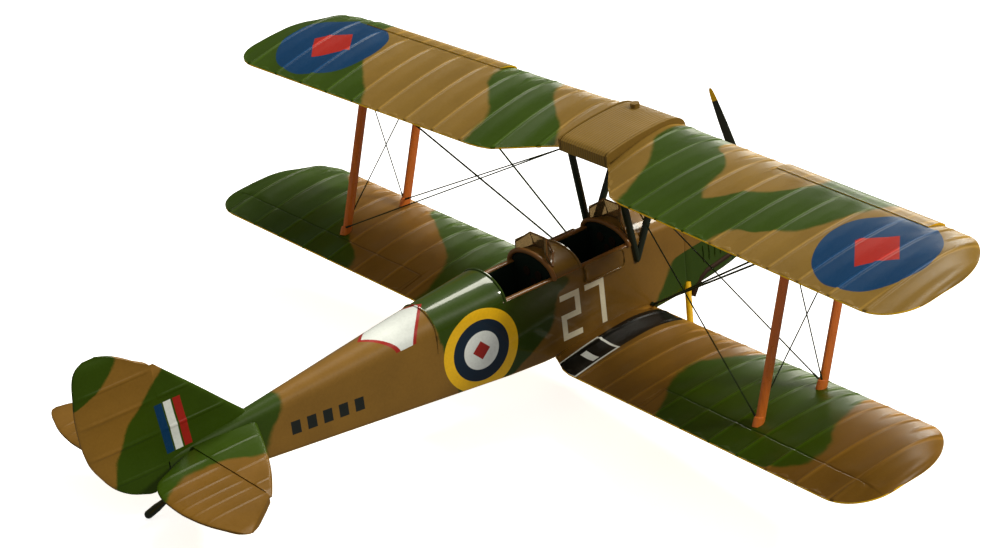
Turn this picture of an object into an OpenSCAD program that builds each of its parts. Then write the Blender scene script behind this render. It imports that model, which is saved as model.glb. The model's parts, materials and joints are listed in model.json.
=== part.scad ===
// Scale model of a two-seat open-cockpit biplane trainer, 1:72, standing on its
// wheels and tail skid. Millimetres. The aircraft is drawn level, with its nose
// at y = 0, x to its left wing and the thrust line at z = 0; posed() then tips
// it back onto the surface z = 0.

/* [Wings] */
// Tip to tip span of each wing
wing_span = 124.4; // [90:0.1:160]
// Chord of each wing
wing_chord = 18.3; // [14:0.1:24]
// Sweep, sideways rise and nose-up tilt of the upper wing, per mm
upper_sweep = 0.094; // [0:0.001:0.15]
upper_dihedral = 0.039; // [0:0.001:0.1]
upper_incidence = 0.066; // [0:0.001:0.1]
// The same for the lower wing
lower_sweep = 0.086; // [0:0.001:0.15]
lower_dihedral = 0.073; // [0:0.001:0.12]
lower_incidence = 0.02; // [0:0.001:0.1]
// Leading edge of the upper wing on the centre line: back from the nose, and up
upper_y = 14.5; // [10:0.1:20]
upper_z = 14.3; // [11:0.1:20]
// The same for the lower wing
lower_y = 21.7; // [18:0.1:28]
lower_z = -8.45; // [-10:0.05:-7]
// Thickness of the trailing edges
edge_t = 0.26; // [0.2:0.02:0.5]
// Length of the rounding at the tips
tip_round = 7.0; // [4:0.1:9]
// Leading-edge slat: inner end, outer end and chord
slat_in = 25.8; // [20:0.1:32]
slat_out = 51.9; // [40:0.1:53]
slat_chord = 2.5; // [1.5:0.1:4]

/* [Centre tank] */
// Width, chord and height of the fuel tank between the upper wings
tank_w = 9.2; // [7:0.1:12]
tank_chord = 13.1; // [10:0.1:15]
tank_h = 2.3; // [1.6:0.1:3.5]

/* [Struts and wires] */
// Distance of the interplane struts from the centre line
strut_x = 39.9; // [28:0.1:50]
// Front and rear strut, back from the leading edge
strut_front = 2.7; // [2.2:0.1:5]
strut_rear = 12.9; // [9:0.1:14]
// Chord and thickness of a strut
strut_c = 1.5; // [1:0.05:2.5]
strut_t = 0.7; // [0.4:0.05:1.2]
// Diameter of a rigging wire
wire_d = 0.26; // [0.2:0.02:0.5]

/* [Fuselage] */
// Nose to stern post
fuselage_end = 91.4; // [75:0.1:110]
// Widest width at the cockpits
fuselage_w = 8.8; // [7:0.1:12]
// Height of the side walls' top, and of the belly, from the thrust line
side_top = 1.7; // [1:0.1:3]
belly_z = -8.8; // [-11:0.1:-8]
// Wall of the cast halves
wall = 0.8; // [0.6:0.05:1.2]
// Back edge of the engine cowl
cowl_end = 16.3; // [13:0.1:19]

/* [Cockpits] */
// Front edge and length of the front cockpit's opening
front_cockpit_y = 25.2; // [24:0.1:26]
front_cockpit_l = 8.0; // [6:0.1:8.5]
// The same for the rear cockpit
rear_cockpit_y = 37.3; // [36:0.1:39]
rear_cockpit_l = 7.8; // [6:0.1:8.5]
// Depth of the cockpit floor under the side walls' top
cockpit_depth = 7.0; // [5:0.1:7.6]
// Top of the windscreens above the thrust line
screen_top = 5.9; // [5:0.1:8]

/* [Tail] */
// Tip to tip width of the tailplane
tail_span = 41.6; // [30:0.1:56]
// How far the tailplane's root and the elevators' hinge line lie ahead of the
// fuselage's end
tail_ahead = 11.8; // [8:0.1:18]
elevator_ahead = 2.9; // [1.5:0.1:6]
// Height of the tailplane
tail_z = -0.7; // [-1.5:0.1:0]
// Top of the rudder
rudder_top = 15.0; // [11:0.1:20]
// Thickness of the fin and the tailplane
tail_t = 1.0; // [0.6:0.05:1.6]

/* [Undercarriage] */
// Diameter and width of a wheel
wheel_d = 6.7; // [5:0.1:9]
wheel_w = 1.9; // [1.2:0.1:3]
// Distance between the wheels' centre planes
track = 22.2; // [18:0.1:30]
// Axle, back from the nose, and down from the thrust line
axle_y = 20.6; // [17:0.1:24]
axle_drop = 16.6; // [14:0.1:20]
// Diameter of the stub axles
axle_d = 1.0; // [0.8:0.05:1.4]
// Radial clearance of what turns on or in what
running_gap = 0.06; // [0.03:0.01:0.1]
// Lowest point of the tail skid under the thrust line, at the skid's end
skid_drop = 6.9; // [6.2:0.1:9]

/* [Propeller] */
// Diameter, and how far it is turned from upright, in degrees
prop_d = 26.8; // [20:0.1:34]
prop_turn = 25; // [0:1:90]
// Diameter of its shaft
prop_shaft_d = 1.0; // [0.8:0.05:1.2]

/* [Stand socket] */
// Bore and depth of the socket in the belly
socket_d = 3.0; // [2:0.1:3.4]
socket_depth = 2.6; // [2:0.1:3]
// Where it is, back from the nose
socket_y = 30.5; // [28:0.1:36]

/* [Hidden] */
$fn = 40;
half_span = wing_span / 2;
half_w = fuselage_w / 2;
half_tank = tank_w / 2;
axle_z = -axle_drop;
wheel_r = wheel_d / 2;
axle_r = axle_d / 2;
prop_r = prop_d / 2;
hub_x = track / 2;
floor_z = side_top - cockpit_depth;
tail_y = fuselage_end - tail_ahead;
elevator_y = fuselage_end - elevator_ahead;
skid_tip_y = fuselage_end + 3.6;
skid_r = 0.35;
skid_tip_z = -skid_drop + skid_r;

// Tip-back angle at which the wheels and the skid stand on one plane
stand_run = skid_tip_y - axle_y;
stand_rise = skid_tip_z - axle_z;
pitch = atan2(stand_rise, stand_run)
    + asin((wheel_r - skid_r) / norm([stand_run, stand_rise]));
hinge_y = fuselage_end + 0.2;
fin_top = rudder_top - 3.7;
// Rudder outline: [height, front, back], heights as a share above the fin
rudder_rise = rudder_top - fin_top;
rudder_line = [
    [-3.9, 2.2, 2.9], [-3.0, 0.4, 5.0], [-1.5, 0, 6.9], [0, 0, 8.0], [3, 0, 9.5],
    [0.55 * rudder_top - 2, 0, 10.0], [0.55 * rudder_top, 0, 10.05],
    [fin_top, 0, 9.75], [fin_top + 0.32 * rudder_rise, 1.6, 9.6],
    [fin_top + 0.62 * rudder_rise, 3.2, 9.3], [fin_top + 0.86 * rudder_rise, 4.8, 8.7],
    [rudder_top, 6.2, 7.8]];
// After tipping: the origin lies on the surface, half way between the foremost
// point, of the boss or of the lower blade, and the rudder's hindmost point
boss_y = -1.3;
blade_y = 1.0;
stand_z = -(axle_z * cos(pitch) - axle_y * sin(pitch) - wheel_r);
foremost = min(boss_y * cos(pitch),
    blade_y * cos(pitch) - 0.98 * prop_r * cos(prop_turn) * sin(pitch) - 0.2);
hindmost = max([for (p = rudder_line)
    (hinge_y + p[2]) * cos(pitch) + p[0] * sin(pitch)]);
stand_y = -(foremost + hindmost) / 2;

module posed() {
    translate([0, stand_y, stand_z]) rotate([-pitch, 0, 0]) children();
}
module right() { mirror([1, 0, 0]) children(); }

// A closed skin over rings of points, each ring flat and with as many points. A
// ring that is hollow on one side has its end closed by the faces in cap.
module loft(rings, cap = undef) {
    n = len(rings[0]);
    m = len(rings);
    ends = is_undef(cap) ? [[for (i = [0:n - 1]) i]] : cap;
    polyhedron(
        [for (r = rings) each r],
        concat(
            ends,
            [for (k = [0:m - 2], i = [0:n - 1], h = [0, 1])
                let (a = k * n + i, b = k * n + (i + 1) % n, c = a + n, d = b + n)
                h == 0 ? [a, c, b] : [b, c, d]],
            [for (e = ends) [for (i = [len(e) - 1:-1:0]) (m - 1) * n + e[i]]]),
        convexity = 8);
}
// Straight rod between two points
module rod(a, b, d) {
    v = b - a;
    translate(a) rotate([0, acos(v.z / norm(v)), atan2(v.y, v.x)])
        cylinder(d = d, h = norm(v));
}
// Value at x on the straight pieces through a list of [x, value]
function on(list, x) = lookup(x, list);

/* Wings: points of a section are [place on the chord, height of the skin], as
   shares of the chord, on the top and then on the underside */
top_line = [[1, 0], [0.86, 0.019], [0.7, 0.037], [0.5, 0.053], [0.32, 0.061],
    [0.18, 0.058], [0.09, 0.045], [0.03, 0.024]];
low_line = [[0, 0], [0.02, -0.014], [0.08, -0.021], [0.25, -0.018], [0.6, -0.009],
    [1, 0]];
wing_t = wing_chord;
function upper_point(x, ch, dz = 0) =
    [x, upper_y + upper_sweep * x + ch, upper_z + upper_dihedral * x
        - upper_incidence * ch + dz];
function lower_point(x, ch, dz = 0) =
    [x, lower_y + lower_sweep * x + ch, lower_z + lower_dihedral * x
        - lower_incidence * ch + dz];
// Front and back of the outline near the tip, as distance back on the chord
tip_le_deep = 9 / 18.3 * wing_chord;
tip_te_deep = 5.5 / 18.3 * wing_chord;
tip_te_len = 5 / 7 * tip_round;
function bend(u) = 1 - sqrt(1 - min(1, max(0, u)) ^ 2);
function tip_le(x) = tip_le_deep * bend((x - half_span + tip_round) / tip_round);
function tip_te(x) =
    wing_chord - tip_te_deep * bend((x - half_span + tip_te_len) / tip_te_len);
// The upper wing's back edge is cut away towards the tank, the lower one's a little
tank_back = upper_y + tank_chord;
cut_end = half_tank + 10.8;
upper_root_te = tank_back - upper_y - upper_sweep * half_tank;
function upper_te(x) = x >= cut_end ? tip_te(x)
    : on([[half_tank, upper_root_te],
        [cut_end - 3.2, wing_chord - 0.55], [cut_end - 1.6, wing_chord - 0.15],
        [cut_end, wing_chord]], x);
lower_cut_end = half_w + 6;
function lower_te(x) = x >= lower_cut_end ? tip_te(x)
    : on([[half_w - 1, wing_chord - 2.0], [lower_cut_end - 2, wing_chord - 0.35],
        [lower_cut_end, wing_chord]], x);
// Thinner towards the tip
function thin(x) = 1 - 0.5 * bend((x - half_span + tip_round) / tip_round);
tip_xs = [for (s = [0.25, 0.5, 0.68, 0.82, 0.92, 0.985])
    half_span - tip_round + s * tip_round];
upper_xs = concat([half_tank, cut_end - 3.2, cut_end - 1.6, cut_end,
    half_span - tip_round], tip_xs);
lower_xs = concat([half_w - 1, lower_cut_end - 2, lower_cut_end,
    half_span - tip_round], tip_xs);
// The skin's thickness is on the full chord, so the slat's seat is a plain strip
function skin(p, x, side) = p[1] * wing_t * thin(x) + side * edge_t / 2 * (p[0] > 0.5 ? 1 : 0);
function upper_ring(x) = let (a = tip_le(x), b = upper_te(x)) concat(
    [for (p = top_line) upper_point(x, a + p[0] * (b - a), skin(p, x, 1))],
    [for (p = low_line) upper_point(x, a + p[0] * (b - a), skin(p, x, -1))]);
function lower_ring(x) = let (a = tip_le(x), b = lower_te(x)) concat(
    [for (p = top_line) lower_point(x, a + p[0] * (b - a), skin(p, x, 1))],
    [for (p = low_line) lower_point(x, a + p[0] * (b - a), skin(p, x, -1))]);
// Height of the skin over or under the chord line at a place on the full chord
function top_skin(ch) = on([for (i = [7:-1:0]) [top_line[i][0], top_line[i][1]]],
    ch / wing_chord) * wing_t;
function low_skin(ch) = on(low_line, ch / wing_chord) * wing_t;

module upper_wing() { loft([for (x = upper_xs) upper_ring(x)]); }
module lower_wing_whole() { loft([for (x = lower_xs) lower_ring(x)]); }

// Slat: a thin strip on the nose of the upper wing, on the same skin lines
slat_t = 0.3;
slat_seat = on([[0.09, 0.045], [0.18, 0.058]], slat_chord / wing_chord);
slat_out_line = [[slat_chord / wing_chord, slat_seat + slat_t / wing_chord * 0.6],
    [0.085, 0.061], [0.018, 0.038], [-0.014, -0.001], [0.012, -0.026], [0.08, -0.029]];
// The glue line between the slat and the wing's nose
slat_fit = 0.02 / wing_chord;
slat_in_line = [[0.08, -0.021 - slat_fit], [0.02, -0.014 - slat_fit], [-slat_fit, 0],
    [0.03, 0.024 + slat_fit], [0.09, 0.045 + slat_fit],
    [slat_chord / wing_chord, slat_seat + slat_fit]];
module slat() {
    loft([for (x = [slat_in, slat_out])
        [for (p = concat(slat_out_line, slat_in_line))
            upper_point(x, p[0] * wing_chord, p[1] * wing_t)]],
        [for (k = [0:4]) [k, k + 1, 10 - k, 11 - k]]);
}

// Fuel tank between the wings: blunt at the back, its top a little proud
tank_low = -0.6;
function tank_ring(x) = [for (p = [[1, tank_h * 0.62], [0.85, tank_h * 0.74],
    [0.6, tank_h * 0.86], [0.35, tank_h * 0.88], [0.16, tank_h * 0.78],
    [0.05, tank_h * 0.5], [0, 0.2], [0.01, -0.25], [0.08, tank_low], [1, tank_low * 0.6]])
    [x, upper_y + p[0] * tank_chord, upper_z - upper_incidence * p[0] * tank_chord + p[1]]];

/* Fuselage: a ring is half a section, from the belly's middle up to the spine */
deck_steps = 6;
function half_ring(y, w, low, side, top, r) = concat(
    [[0, y, top]],
    [for (i = [deck_steps - 1:-1:0]) let (t = 90 * i / deck_steps)
        [w * cos(t), y, side + (top - side) * sin(t)]],
    [[w, y, low + r], [w - 0.3 * r, y, low + 0.3 * r], [w - r, y, low], [0, y, low]]);
// The whole section: the half and its mirror image, without the two shared points
function full_ring(h) = concat(h,
    [for (i = [len(h) - 2:-1:1]) [-h[i].x, h[i].y, h[i].z]]);
taper_y = 45.5;
tail_side = -1.3;
tail_belly = -5.1;
tail_w = 0.5;
deck_top = 4.6;
function body_w(y) = on([[cowl_end, half_w - 0.3], [24, half_w], [34, half_w],
    [taper_y, half_w - 0.2], [fuselage_end, tail_w]], y);
function body_low(y) = on([[cowl_end, belly_z + 0.2], [22, belly_z], [40, belly_z],
    [fuselage_end, tail_belly]], y);
function body_side(y) = on([[cowl_end, side_top - 0.4], [24, side_top],
    [taper_y, side_top], [fuselage_end, tail_side]], y);
function body_top(y) = on([[cowl_end, 3.0], [24, 3.6], [34, 3.9], [38, 4.2],
    [taper_y, deck_top], [55, 3.85], [fuselage_end, -0.45]], y);
body_ys = [cowl_end, 20, 24, 34, 38, 40, taper_y, 55, 68, 80, fuselage_end];
function body_ring(y) = half_ring(y, body_w(y), body_low(y), body_side(y),
    body_top(y), 0.7);
module half_body() { loft([for (y = body_ys) body_ring(y)]); }
hollow_end = 70;
hollow_ys = [cowl_end - 1, 24, 34, 38, 40, taper_y, 55, hollow_end];
function hollow_ring(y) = full_ring(half_ring(y, body_w(y) - wall,
    body_low(y) + wall, body_side(y) - 0.2, body_top(y) - wall, 0.4));
module body_half() {
    difference() {
        half_body();
        hollow();
        // the cockpits: everything above the side walls goes
        for (c = [[front_cockpit_y, front_cockpit_l], [rear_cockpit_y, rear_cockpit_l]])
            translate([-1, c[0], side_top + 0.3]) cube([fuselage_w, c[1], 10]);
        // seat of the stand socket
        translate([0, socket_y, belly_z - 1]) cylinder(d = socket_d + 1.2, h = wall + 2);
    }
}
module body() { loft([for (y = body_ys) full_ring(body_ring(y))]); }
module hollow() { loft([for (y = hollow_ys) hollow_ring(y)]); }

// Engine cowl
function cowl_w(y) = on([[2.2, 2.1], [3.0, 2.8], [5, 3.3], [9, 3.7], [13, 3.95],
    [cowl_end, half_w - 0.3]], y);
function cowl_low(y) = on([[2.2, -5.7], [3.0, -6.9], [5, -7.7], [9, -8.3], [13, -8.5],
    [cowl_end, belly_z + 0.2]], y);
function cowl_top(y) = on([[2.2, 1.6], [3.0, 2.05], [5, 2.3], [9, 2.55],
    [cowl_end, 3.0]], y);
function cowl_side(y) = on([[2.2, 0.2], [5, 0.5], [cowl_end, side_top - 0.4]], y);
cowl_ys = [2.2, 3.0, 5, 9, 13, cowl_end];
cowl_front = 2.2;
shaft_r = prop_shaft_d / 2;
bush_r = shaft_r + 0.6;
bush_l = 2.2;
pocket_l = 4.6;
module cowl_shape() {
    loft([for (y = cowl_ys) full_ring(half_ring(y, cowl_w(y), cowl_low(y),
        cowl_side(y), cowl_top(y), on([[2.2, 1.4], [cowl_end, 0.7]], y)))]);
}

module engine_cowl() color([0.45, 0.36, 0.16]) posed() difference() {
    cowl_shape();
    translate([0, cowl_front - 1, 0]) rotate([-90, 0, 0])
        cylinder(r = bush_r, h = pocket_l + 1);
    // mouth of the oil cooler duct, on the left of the nose
    translate([0.9, cowl_front - 1, -4.9]) cube([1.1, 1.9, 2.6]);
}
module cooling_scoop() color([0.24, 0.28, 0.12]) posed() difference() {
    hull() {
        translate([3.0, 4.6, -5.6]) cube([1.2, 0.1, 3.8]);
        translate([3.0, 10.5, -5.2]) cube([0.95, 0.1, 3.0]);
    }
    cowl_shape();
    translate([3.2, 3.6, -5.2]) cube([0.7, 1.6, 3.0]);
}
module exhaust_pipe() color([0.12, 0.11, 0.1]) posed() difference() {
    union() {
        rod([-3.5, 6, -6.2], [-3.9, 13.2, -6.4], 1.1);
        rod([-3.9, 13.2, -6.4], [-3.7, 15.4, -10.2], 1.0);
        translate([-3.9, 13.2, -6.4]) sphere(d = 1.1);
    }
    cowl_shape();
}
module fuselage_left() color([0.23, 0.27, 0.1]) posed() body_half();
module fuselage_right() color([0.23, 0.27, 0.1]) posed() right() body_half();

// Inside the cockpits
floor_t = 0.5;
bulkhead_y = rear_cockpit_y + rear_cockpit_l;
module cockpit_floor() color([0.1, 0.13, 0.1]) posed() intersection() {
    union() {
        translate([-5, front_cockpit_y - 1, floor_z - floor_t])
            cube([10, bulkhead_y - front_cockpit_y + 1.5, floor_t]);
        translate([-5, bulkhead_y, floor_z - floor_t]) cube([10, 0.5, 20]);
    }
    hollow();
}
panel_t = 0.45;
module panel(y) {
    intersection() {
        translate([-5, y - panel_t, floor_z + 4.3]) cube([10, panel_t, 12]);
        hollow();
    }
    for (s = [-1, 1]) translate([s * 1.15, y, floor_z + 6.6]) rotate([-90, 0, 0])
        cylinder(r = 0.62, h = 0.12);
    translate([0, y, floor_z + 5.4]) rotate([-90, 0, 0]) cylinder(r = 0.5, h = 0.12);
}
module instrument_panel_front() color([0.06, 0.06, 0.06]) posed() panel(front_cockpit_y);
module instrument_panel_rear() color([0.06, 0.06, 0.06]) posed() panel(rear_cockpit_y);
seat_w = 4.6;
seat_l = 2.9;
seat_up = 1.0;
seat_h = 3.7;
module seat(y) {
    // bucket seat: pan, sides and back, on a foot that stands on the floor
    translate([-seat_w / 2, y - seat_l, floor_z + seat_up]) difference() {
        cube([seat_w, seat_l, seat_h]);
        translate([0.45, -1, 0.45]) cube([seat_w - 0.9, seat_l + 0.5, 5]);
        translate([-1, -1.2, 1.5]) rotate([-38, 0, 0]) translate([0, -2, 0])
            cube([seat_w + 2, 3.9, 5]);
    }
    translate([-1.1, y - seat_l + 0.5, floor_z]) cube([2.2, 1.8, seat_up]);
}
module seat_front() color([0.3, 0.2, 0.1]) posed()
    seat(front_cockpit_y + front_cockpit_l - 0.3);
module seat_rear() color([0.3, 0.2, 0.1]) posed()
    seat(rear_cockpit_y + rear_cockpit_l - 0.3);
module stick(y) {
    rod([0, y, floor_z], [0, y + 0.3, floor_z + 3.2], 0.4);
    translate([0, y + 0.3, floor_z + 3.2]) sphere(d = 0.6);
}
module control_stick_front() color([0.05, 0.05, 0.05]) posed() stick(front_cockpit_y + 2.3);
module control_stick_rear() color([0.05, 0.05, 0.05]) posed() stick(rear_cockpit_y + 2.3);

// Windscreens: three flat panes, trimmed to the deck they stand on
pane_t = 0.25;
module pane(a, b, y) {
    // a and b are [x, back from y]; the pane leans back towards its top
    lean = 0.7;
    hull() for (p = [a, b]) {
        translate([p[0], y + p[1], side_top]) cylinder(d = pane_t, h = 0.1, $fn = 8);
        translate([p[0] * 0.8, y + p[1] * 0.8 + lean, screen_top - 0.1 - p[1] * 0.5])
            cylinder(d = pane_t, h = 0.1, $fn = 8);
    }
}
module windscreen(y) {
    difference() {
        union() {
            pane([-1.7, 0], [1.7, 0], y);
            pane([1.7, 0], [3.5, 1.7], y);
            pane([-1.7, 0], [-3.5, 1.7], y);
        }
        body();
    }
}
screen_back = 2.15;
module windscreen_front() color([0.6, 0.62, 0.6, 0.5]) posed()
    windscreen(front_cockpit_y - screen_back);
module windscreen_rear() color([0.6, 0.62, 0.6, 0.5]) posed()
    windscreen(rear_cockpit_y - screen_back);

// Hinged doors of the front cockpit, cast as thin raised panels
door_t = 0.2;
module door() {
    translate([body_w(front_cockpit_y + 4), front_cockpit_y + 1.2, side_top - 3.0])
        cube([door_t, front_cockpit_l - 1.6, 3.2]);
}
module door_left() color([0.4, 0.25, 0.1]) posed() door();
module door_right() color([0.4, 0.25, 0.1]) posed() right() door();

// Wings
module upper_wing_left() color([0.43, 0.34, 0.13]) posed() upper_wing();
module upper_wing_right() color([0.43, 0.34, 0.13]) posed() right() upper_wing();
module slat_left() color([0.27, 0.33, 0.12]) posed() slat();
module slat_right() color([0.27, 0.33, 0.12]) posed() right() slat();
module fuel_tank() color([0.6, 0.48, 0.26]) posed()
    loft([tank_ring(-half_tank), tank_ring(half_tank)]);
cap_at = [1.9, upper_y + 2.5];
module filler_cap() color([0.5, 0.4, 0.2]) posed() difference() {
    translate([cap_at[0], cap_at[1], upper_z]) cylinder(d = 1.2, h = tank_h * 0.86 + 0.3);
    loft([tank_ring(-half_tank), tank_ring(half_tank)]);
}
module lower_wing() { difference() { lower_wing_whole(); body(); } }
module lower_wing_left() color([0.3, 0.22, 0.08]) posed() lower_wing();
module lower_wing_right() color([0.3, 0.22, 0.08]) posed() right() lower_wing();

// Interplane struts, from the lower wing's top skin to the upper wing's underside
function strut_low(ch) = lower_point(strut_x, ch, top_skin(ch));
function strut_high(ch) = upper_point(strut_x, ch, low_skin(ch));
module strut(ch) {
    a = strut_low(ch);
    b = strut_high(ch);
    difference() {
        hull() {
            for (p = [a - [0, 0, 0.6], b + [0, 0, 0.5]]) translate(p)
                linear_extrude(0.1) polygon([for (i = [0:11])
                    [strut_t / 2 * sin(30 * i), strut_c / 2 * cos(30 * i)]]);
        }
        upper_wing();
        lower_wing_whole();
    }
}
wood = [0.62, 0.32, 0.12];
module strut_front_left() color(wood) posed() strut(strut_front);
module strut_rear_left() color(wood) posed() strut(strut_rear);
module strut_front_right() color(wood) posed() right() strut(strut_front);
module strut_rear_right() color(wood) posed() right() strut(strut_rear);

// Cabane: on each side two struts rise from one foot to the tank's underside
cabane_y = 24.2;
cabane_z = -0.5;
cabane_front_y = upper_y + 2.0;
cabane_rear_y = tank_back - 1.3;
cabane_top_x = half_tank - 0.45;
function cabane_top(y) = [cabane_top_x, y,
    upper_z - upper_incidence * (y - upper_y) + 0.4];
module cabane() {
    foot = [body_w(cabane_y), cabane_y, cabane_z];
    difference() {
        union() {
            for (y = [cabane_front_y, cabane_rear_y]) hull() {
                translate(foot) sphere(d = 0.95, $fn = 12);
                translate(cabane_top(y)) sphere(d = 0.95, $fn = 12);
            }
        }
        body();
        loft([tank_ring(-half_tank), tank_ring(half_tank)]);
        upper_wing();
    }
}
module cabane_left() color([0.08, 0.1, 0.07]) posed() cabane();
module cabane_right() color([0.08, 0.1, 0.07]) posed() right() cabane();

// Rigging: each wire runs between the fittings of struts and roots
root_fitting = [half_w + 0.25, lower_y + 0.5, lower_z + 0.85];
centre_fitting = [half_tank - 0.2, tank_back - 0.9, cabane_top(tank_back - 0.9).z - 0.6];
function foot_of(ch) = strut_low(ch) + [0, 0, 0.9];
function head_of(ch) = strut_high(ch) - [0, 0, 0.7];
module both() { children(); right() children(); }
module flying_wires() color([0.1, 0.1, 0.1]) posed() both() {
    for (ch = [strut_front, strut_rear])
        rod(root_fitting, head_of(ch) - [strut_t / 2, 0, 0], wire_d);
    // the fork at the wing root
    translate(root_fitting - [0.3, 0.4, 0.5]) cube([0.5, 0.9, 0.8]);
}
module landing_wires() color([0.1, 0.1, 0.1]) posed() both()
    for (ch = [strut_front, strut_rear])
        rod(centre_fitting, foot_of(ch) - [strut_t / 2, 0, 0], wire_d);
module incidence_wires() color([0.1, 0.1, 0.1]) posed() both() {
    rod(foot_of(strut_front) + [0.14, 0, 0], head_of(strut_rear) + [0.14, 0, 0], wire_d);
    rod(foot_of(strut_rear) - [0.14, 0, 0], head_of(strut_front) - [0.14, 0, 0], wire_d);
}

// Tail. Sections of the tail surfaces, full at the front third
tail_half = tail_span / 2;
tail_k = tail_half / 20.8;
hinge_gap = 0.08;
function plate_ring(x, a, b, ta, tb, z) = [
    [x, b, z + tb / 2], [x, a + 0.35 * (b - a), z + ta / 2],
    [x, a + 0.1 * (b - a), z + ta * 0.4], [x, a, z],
    [x, a + 0.1 * (b - a), z - ta * 0.4], [x, a + 0.35 * (b - a), z - ta / 2],
    [x, b, z - tb / 2]];
tailplane_le = [[0.2, tail_y], [8.2, tail_y + 3.6], [12.2, tail_y + 5.8],
    [15, tail_y + 7.7], [16.2, elevator_y - 0.35]];
module tailplane_half() {
    difference() {
        loft([for (p = tailplane_le)
            plate_ring(p[0] * tail_k, p[1], elevator_y - hinge_gap,
                tail_t * (p[0] > 16 ? 0.8 : 1), tail_t * 0.75, tail_z)]);
        body();
    }
}
elevator_in = 1.2;
elevator_back = [[1.2, 1.2], [2.4, 3.6], [4.2, 6.8], [5.8, 7.8], [8.2, 8.35], [11.3, 8.5],
    [14, 8.25], [16.2, 7.8], [18, 7.2], [19.4, 6.7], [20.4, 6.1], [20.8, 5.7]];
elevator_front = [[1.2, 0], [16.2, 0], [17.3, 1.0], [18.7, 2.6], [20, 4.2], [20.8, 5.3]];
elevator_xs = [1.2, 2.4, 4.2, 5.8, 8.2, 11.3, 14, 16.2, 17.3, 18.7, 20, 20.8];
module elevator_half() {
    loft([for (x = elevator_xs) let (a = elevator_y + on(elevator_front, x),
            b = elevator_y + on(elevator_back, x), t = tail_t * (x > 20 ? 0.5 : 0.75))
        [[x * tail_k, b, tail_z + 0.14], [x * tail_k, a, tail_z + t / 2],
            [x * tail_k, a, tail_z - t / 2], [x * tail_k, b, tail_z - 0.14]]]);
}
module tailplane_left() color([0.45, 0.32, 0.13]) posed() tailplane_half();
module tailplane_right() color([0.45, 0.32, 0.13]) posed() right() tailplane_half();
module elevator_left() color([0.25, 0.28, 0.1]) posed() elevator_half();
module elevator_right() color([0.25, 0.28, 0.1]) posed() right() elevator_half();

fin_z = [-1, 1.2, 6.5, fin_top - 0.5, fin_top];
function fin_front(z) = on([[-1, tail_y - 1.2], [1.2, tail_y + 1.2], [6.5, tail_y + 6.5],
    [fin_top - 0.5, hinge_y - 1.1], [fin_top, hinge_y - 0.6]], z);
function up_ring(z, a, b, ta, tb) = [for (p = plate_ring(0, a, b, ta, tb, 0)) [-p.z, p.y, z]];
module fin() color([0.35, 0.27, 0.1]) posed() difference() {
    loft([for (z = fin_z) up_ring(z, fin_front(z), hinge_y - hinge_gap,
        tail_t * (z > fin_top - 0.1 ? 0.6 : 0.9), tail_t * (z > fin_top - 0.1 ? 0.5 : 0.7))]);
    scale([1, 1, 1.004]) body();  // a hair off, so that no facets meet
}
module rudder() color([0.25, 0.28, 0.1]) posed()
    loft([for (p = rudder_line) let (t = tail_t * (p[0] > rudder_top - 0.1 || p[0] < -3.5 ? 0.4 : 0.7))
        [[-0.14, hinge_y + p[2], p[0]], [-t / 2, hinge_y + p[1], p[0]],
            [t / 2, hinge_y + p[1], p[0]], [0.14, hinge_y + p[2], p[0]]]]);
module tailplane_stays() color([0.15, 0.15, 0.12]) posed() both() difference() {
    rod([0.5, 84.6, -5.3], [9.5 * tail_k, 86.2, tail_z - 0.2], 0.45);
    body();
    tailplane_half();
}
skid_root_y = fuselage_end - 2.1;
belly_rise = atan2(tail_belly - belly_z, fuselage_end - 40);
module tail_skid() color([0.06, 0.06, 0.06]) posed() difference() {
    union() {
        rod([0, skid_root_y, body_low(skid_root_y) + 0.4], [0, skid_tip_y, skid_tip_z],
            1.7 * skid_r);
        // the shoe it slides on
        translate([-0.6, skid_tip_y, skid_tip_z]) rotate([0, 90, 0])
            cylinder(r = skid_r, h = 1.2);
    }
    // flat against the belly
    translate([-2, fuselage_end, tail_belly]) rotate([belly_rise, 0, 0])
        translate([0, -20, 0]) cube([4, 20, 5]);
}

// Undercarriage
yellow = [0.9, 0.72, 0.15];
leg_in = hub_x - wheel_w / 2 - 0.35;
module leg() {
    difference() {
        rod([half_w - 0.5, cowl_end - 0.5, belly_z + 1.5],
            [leg_in - 0.6, axle_y, axle_z], 0.85);
        body();
        cowl_shape();
        translate([leg_in - 1.2, axle_y, axle_z]) rotate([0, 90, 0])
            cylinder(d = axle_d + 0.5, h = 1.2);
    }
}
module axle_strut() {
    // sleeve and stub axle the wheel turns on
    translate([leg_in - 1.2, axle_y, axle_z]) rotate([0, 90, 0])
        cylinder(d = axle_d + 0.5, h = 1.2);
    translate([leg_in, axle_y, axle_z]) rotate([0, 90, 0])
        cylinder(d = axle_d, h = wheel_w + 0.7);
    difference() {
        union() {
            rod([leg_in - 0.8, axle_y, axle_z], [0.7, axle_y, belly_z + 0.3], 0.7);
            rod([leg_in - 0.8, axle_y, axle_z], [half_w - 1.0, axle_y + 8.6, belly_z + 0.3], 0.6);
        }
        body();
    }
}
module leg_left() color(yellow) posed() leg();
module leg_right() color(yellow) posed() right() leg();
module axle_strut_left() color(yellow) posed() axle_strut();
module axle_strut_right() color(yellow) posed() right() axle_strut();
cap_l = 0.35;
module axle_cap() {
    translate([leg_in + wheel_w + 0.7, axle_y, axle_z]) rotate([0, 90, 0])
        cylinder(d = axle_d + 0.8, h = cap_l);
}
module axle_cap_left() color([0.5, 0.5, 0.45]) posed() axle_cap();
module axle_cap_right() color([0.5, 0.5, 0.45]) posed() right() axle_cap();

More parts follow.
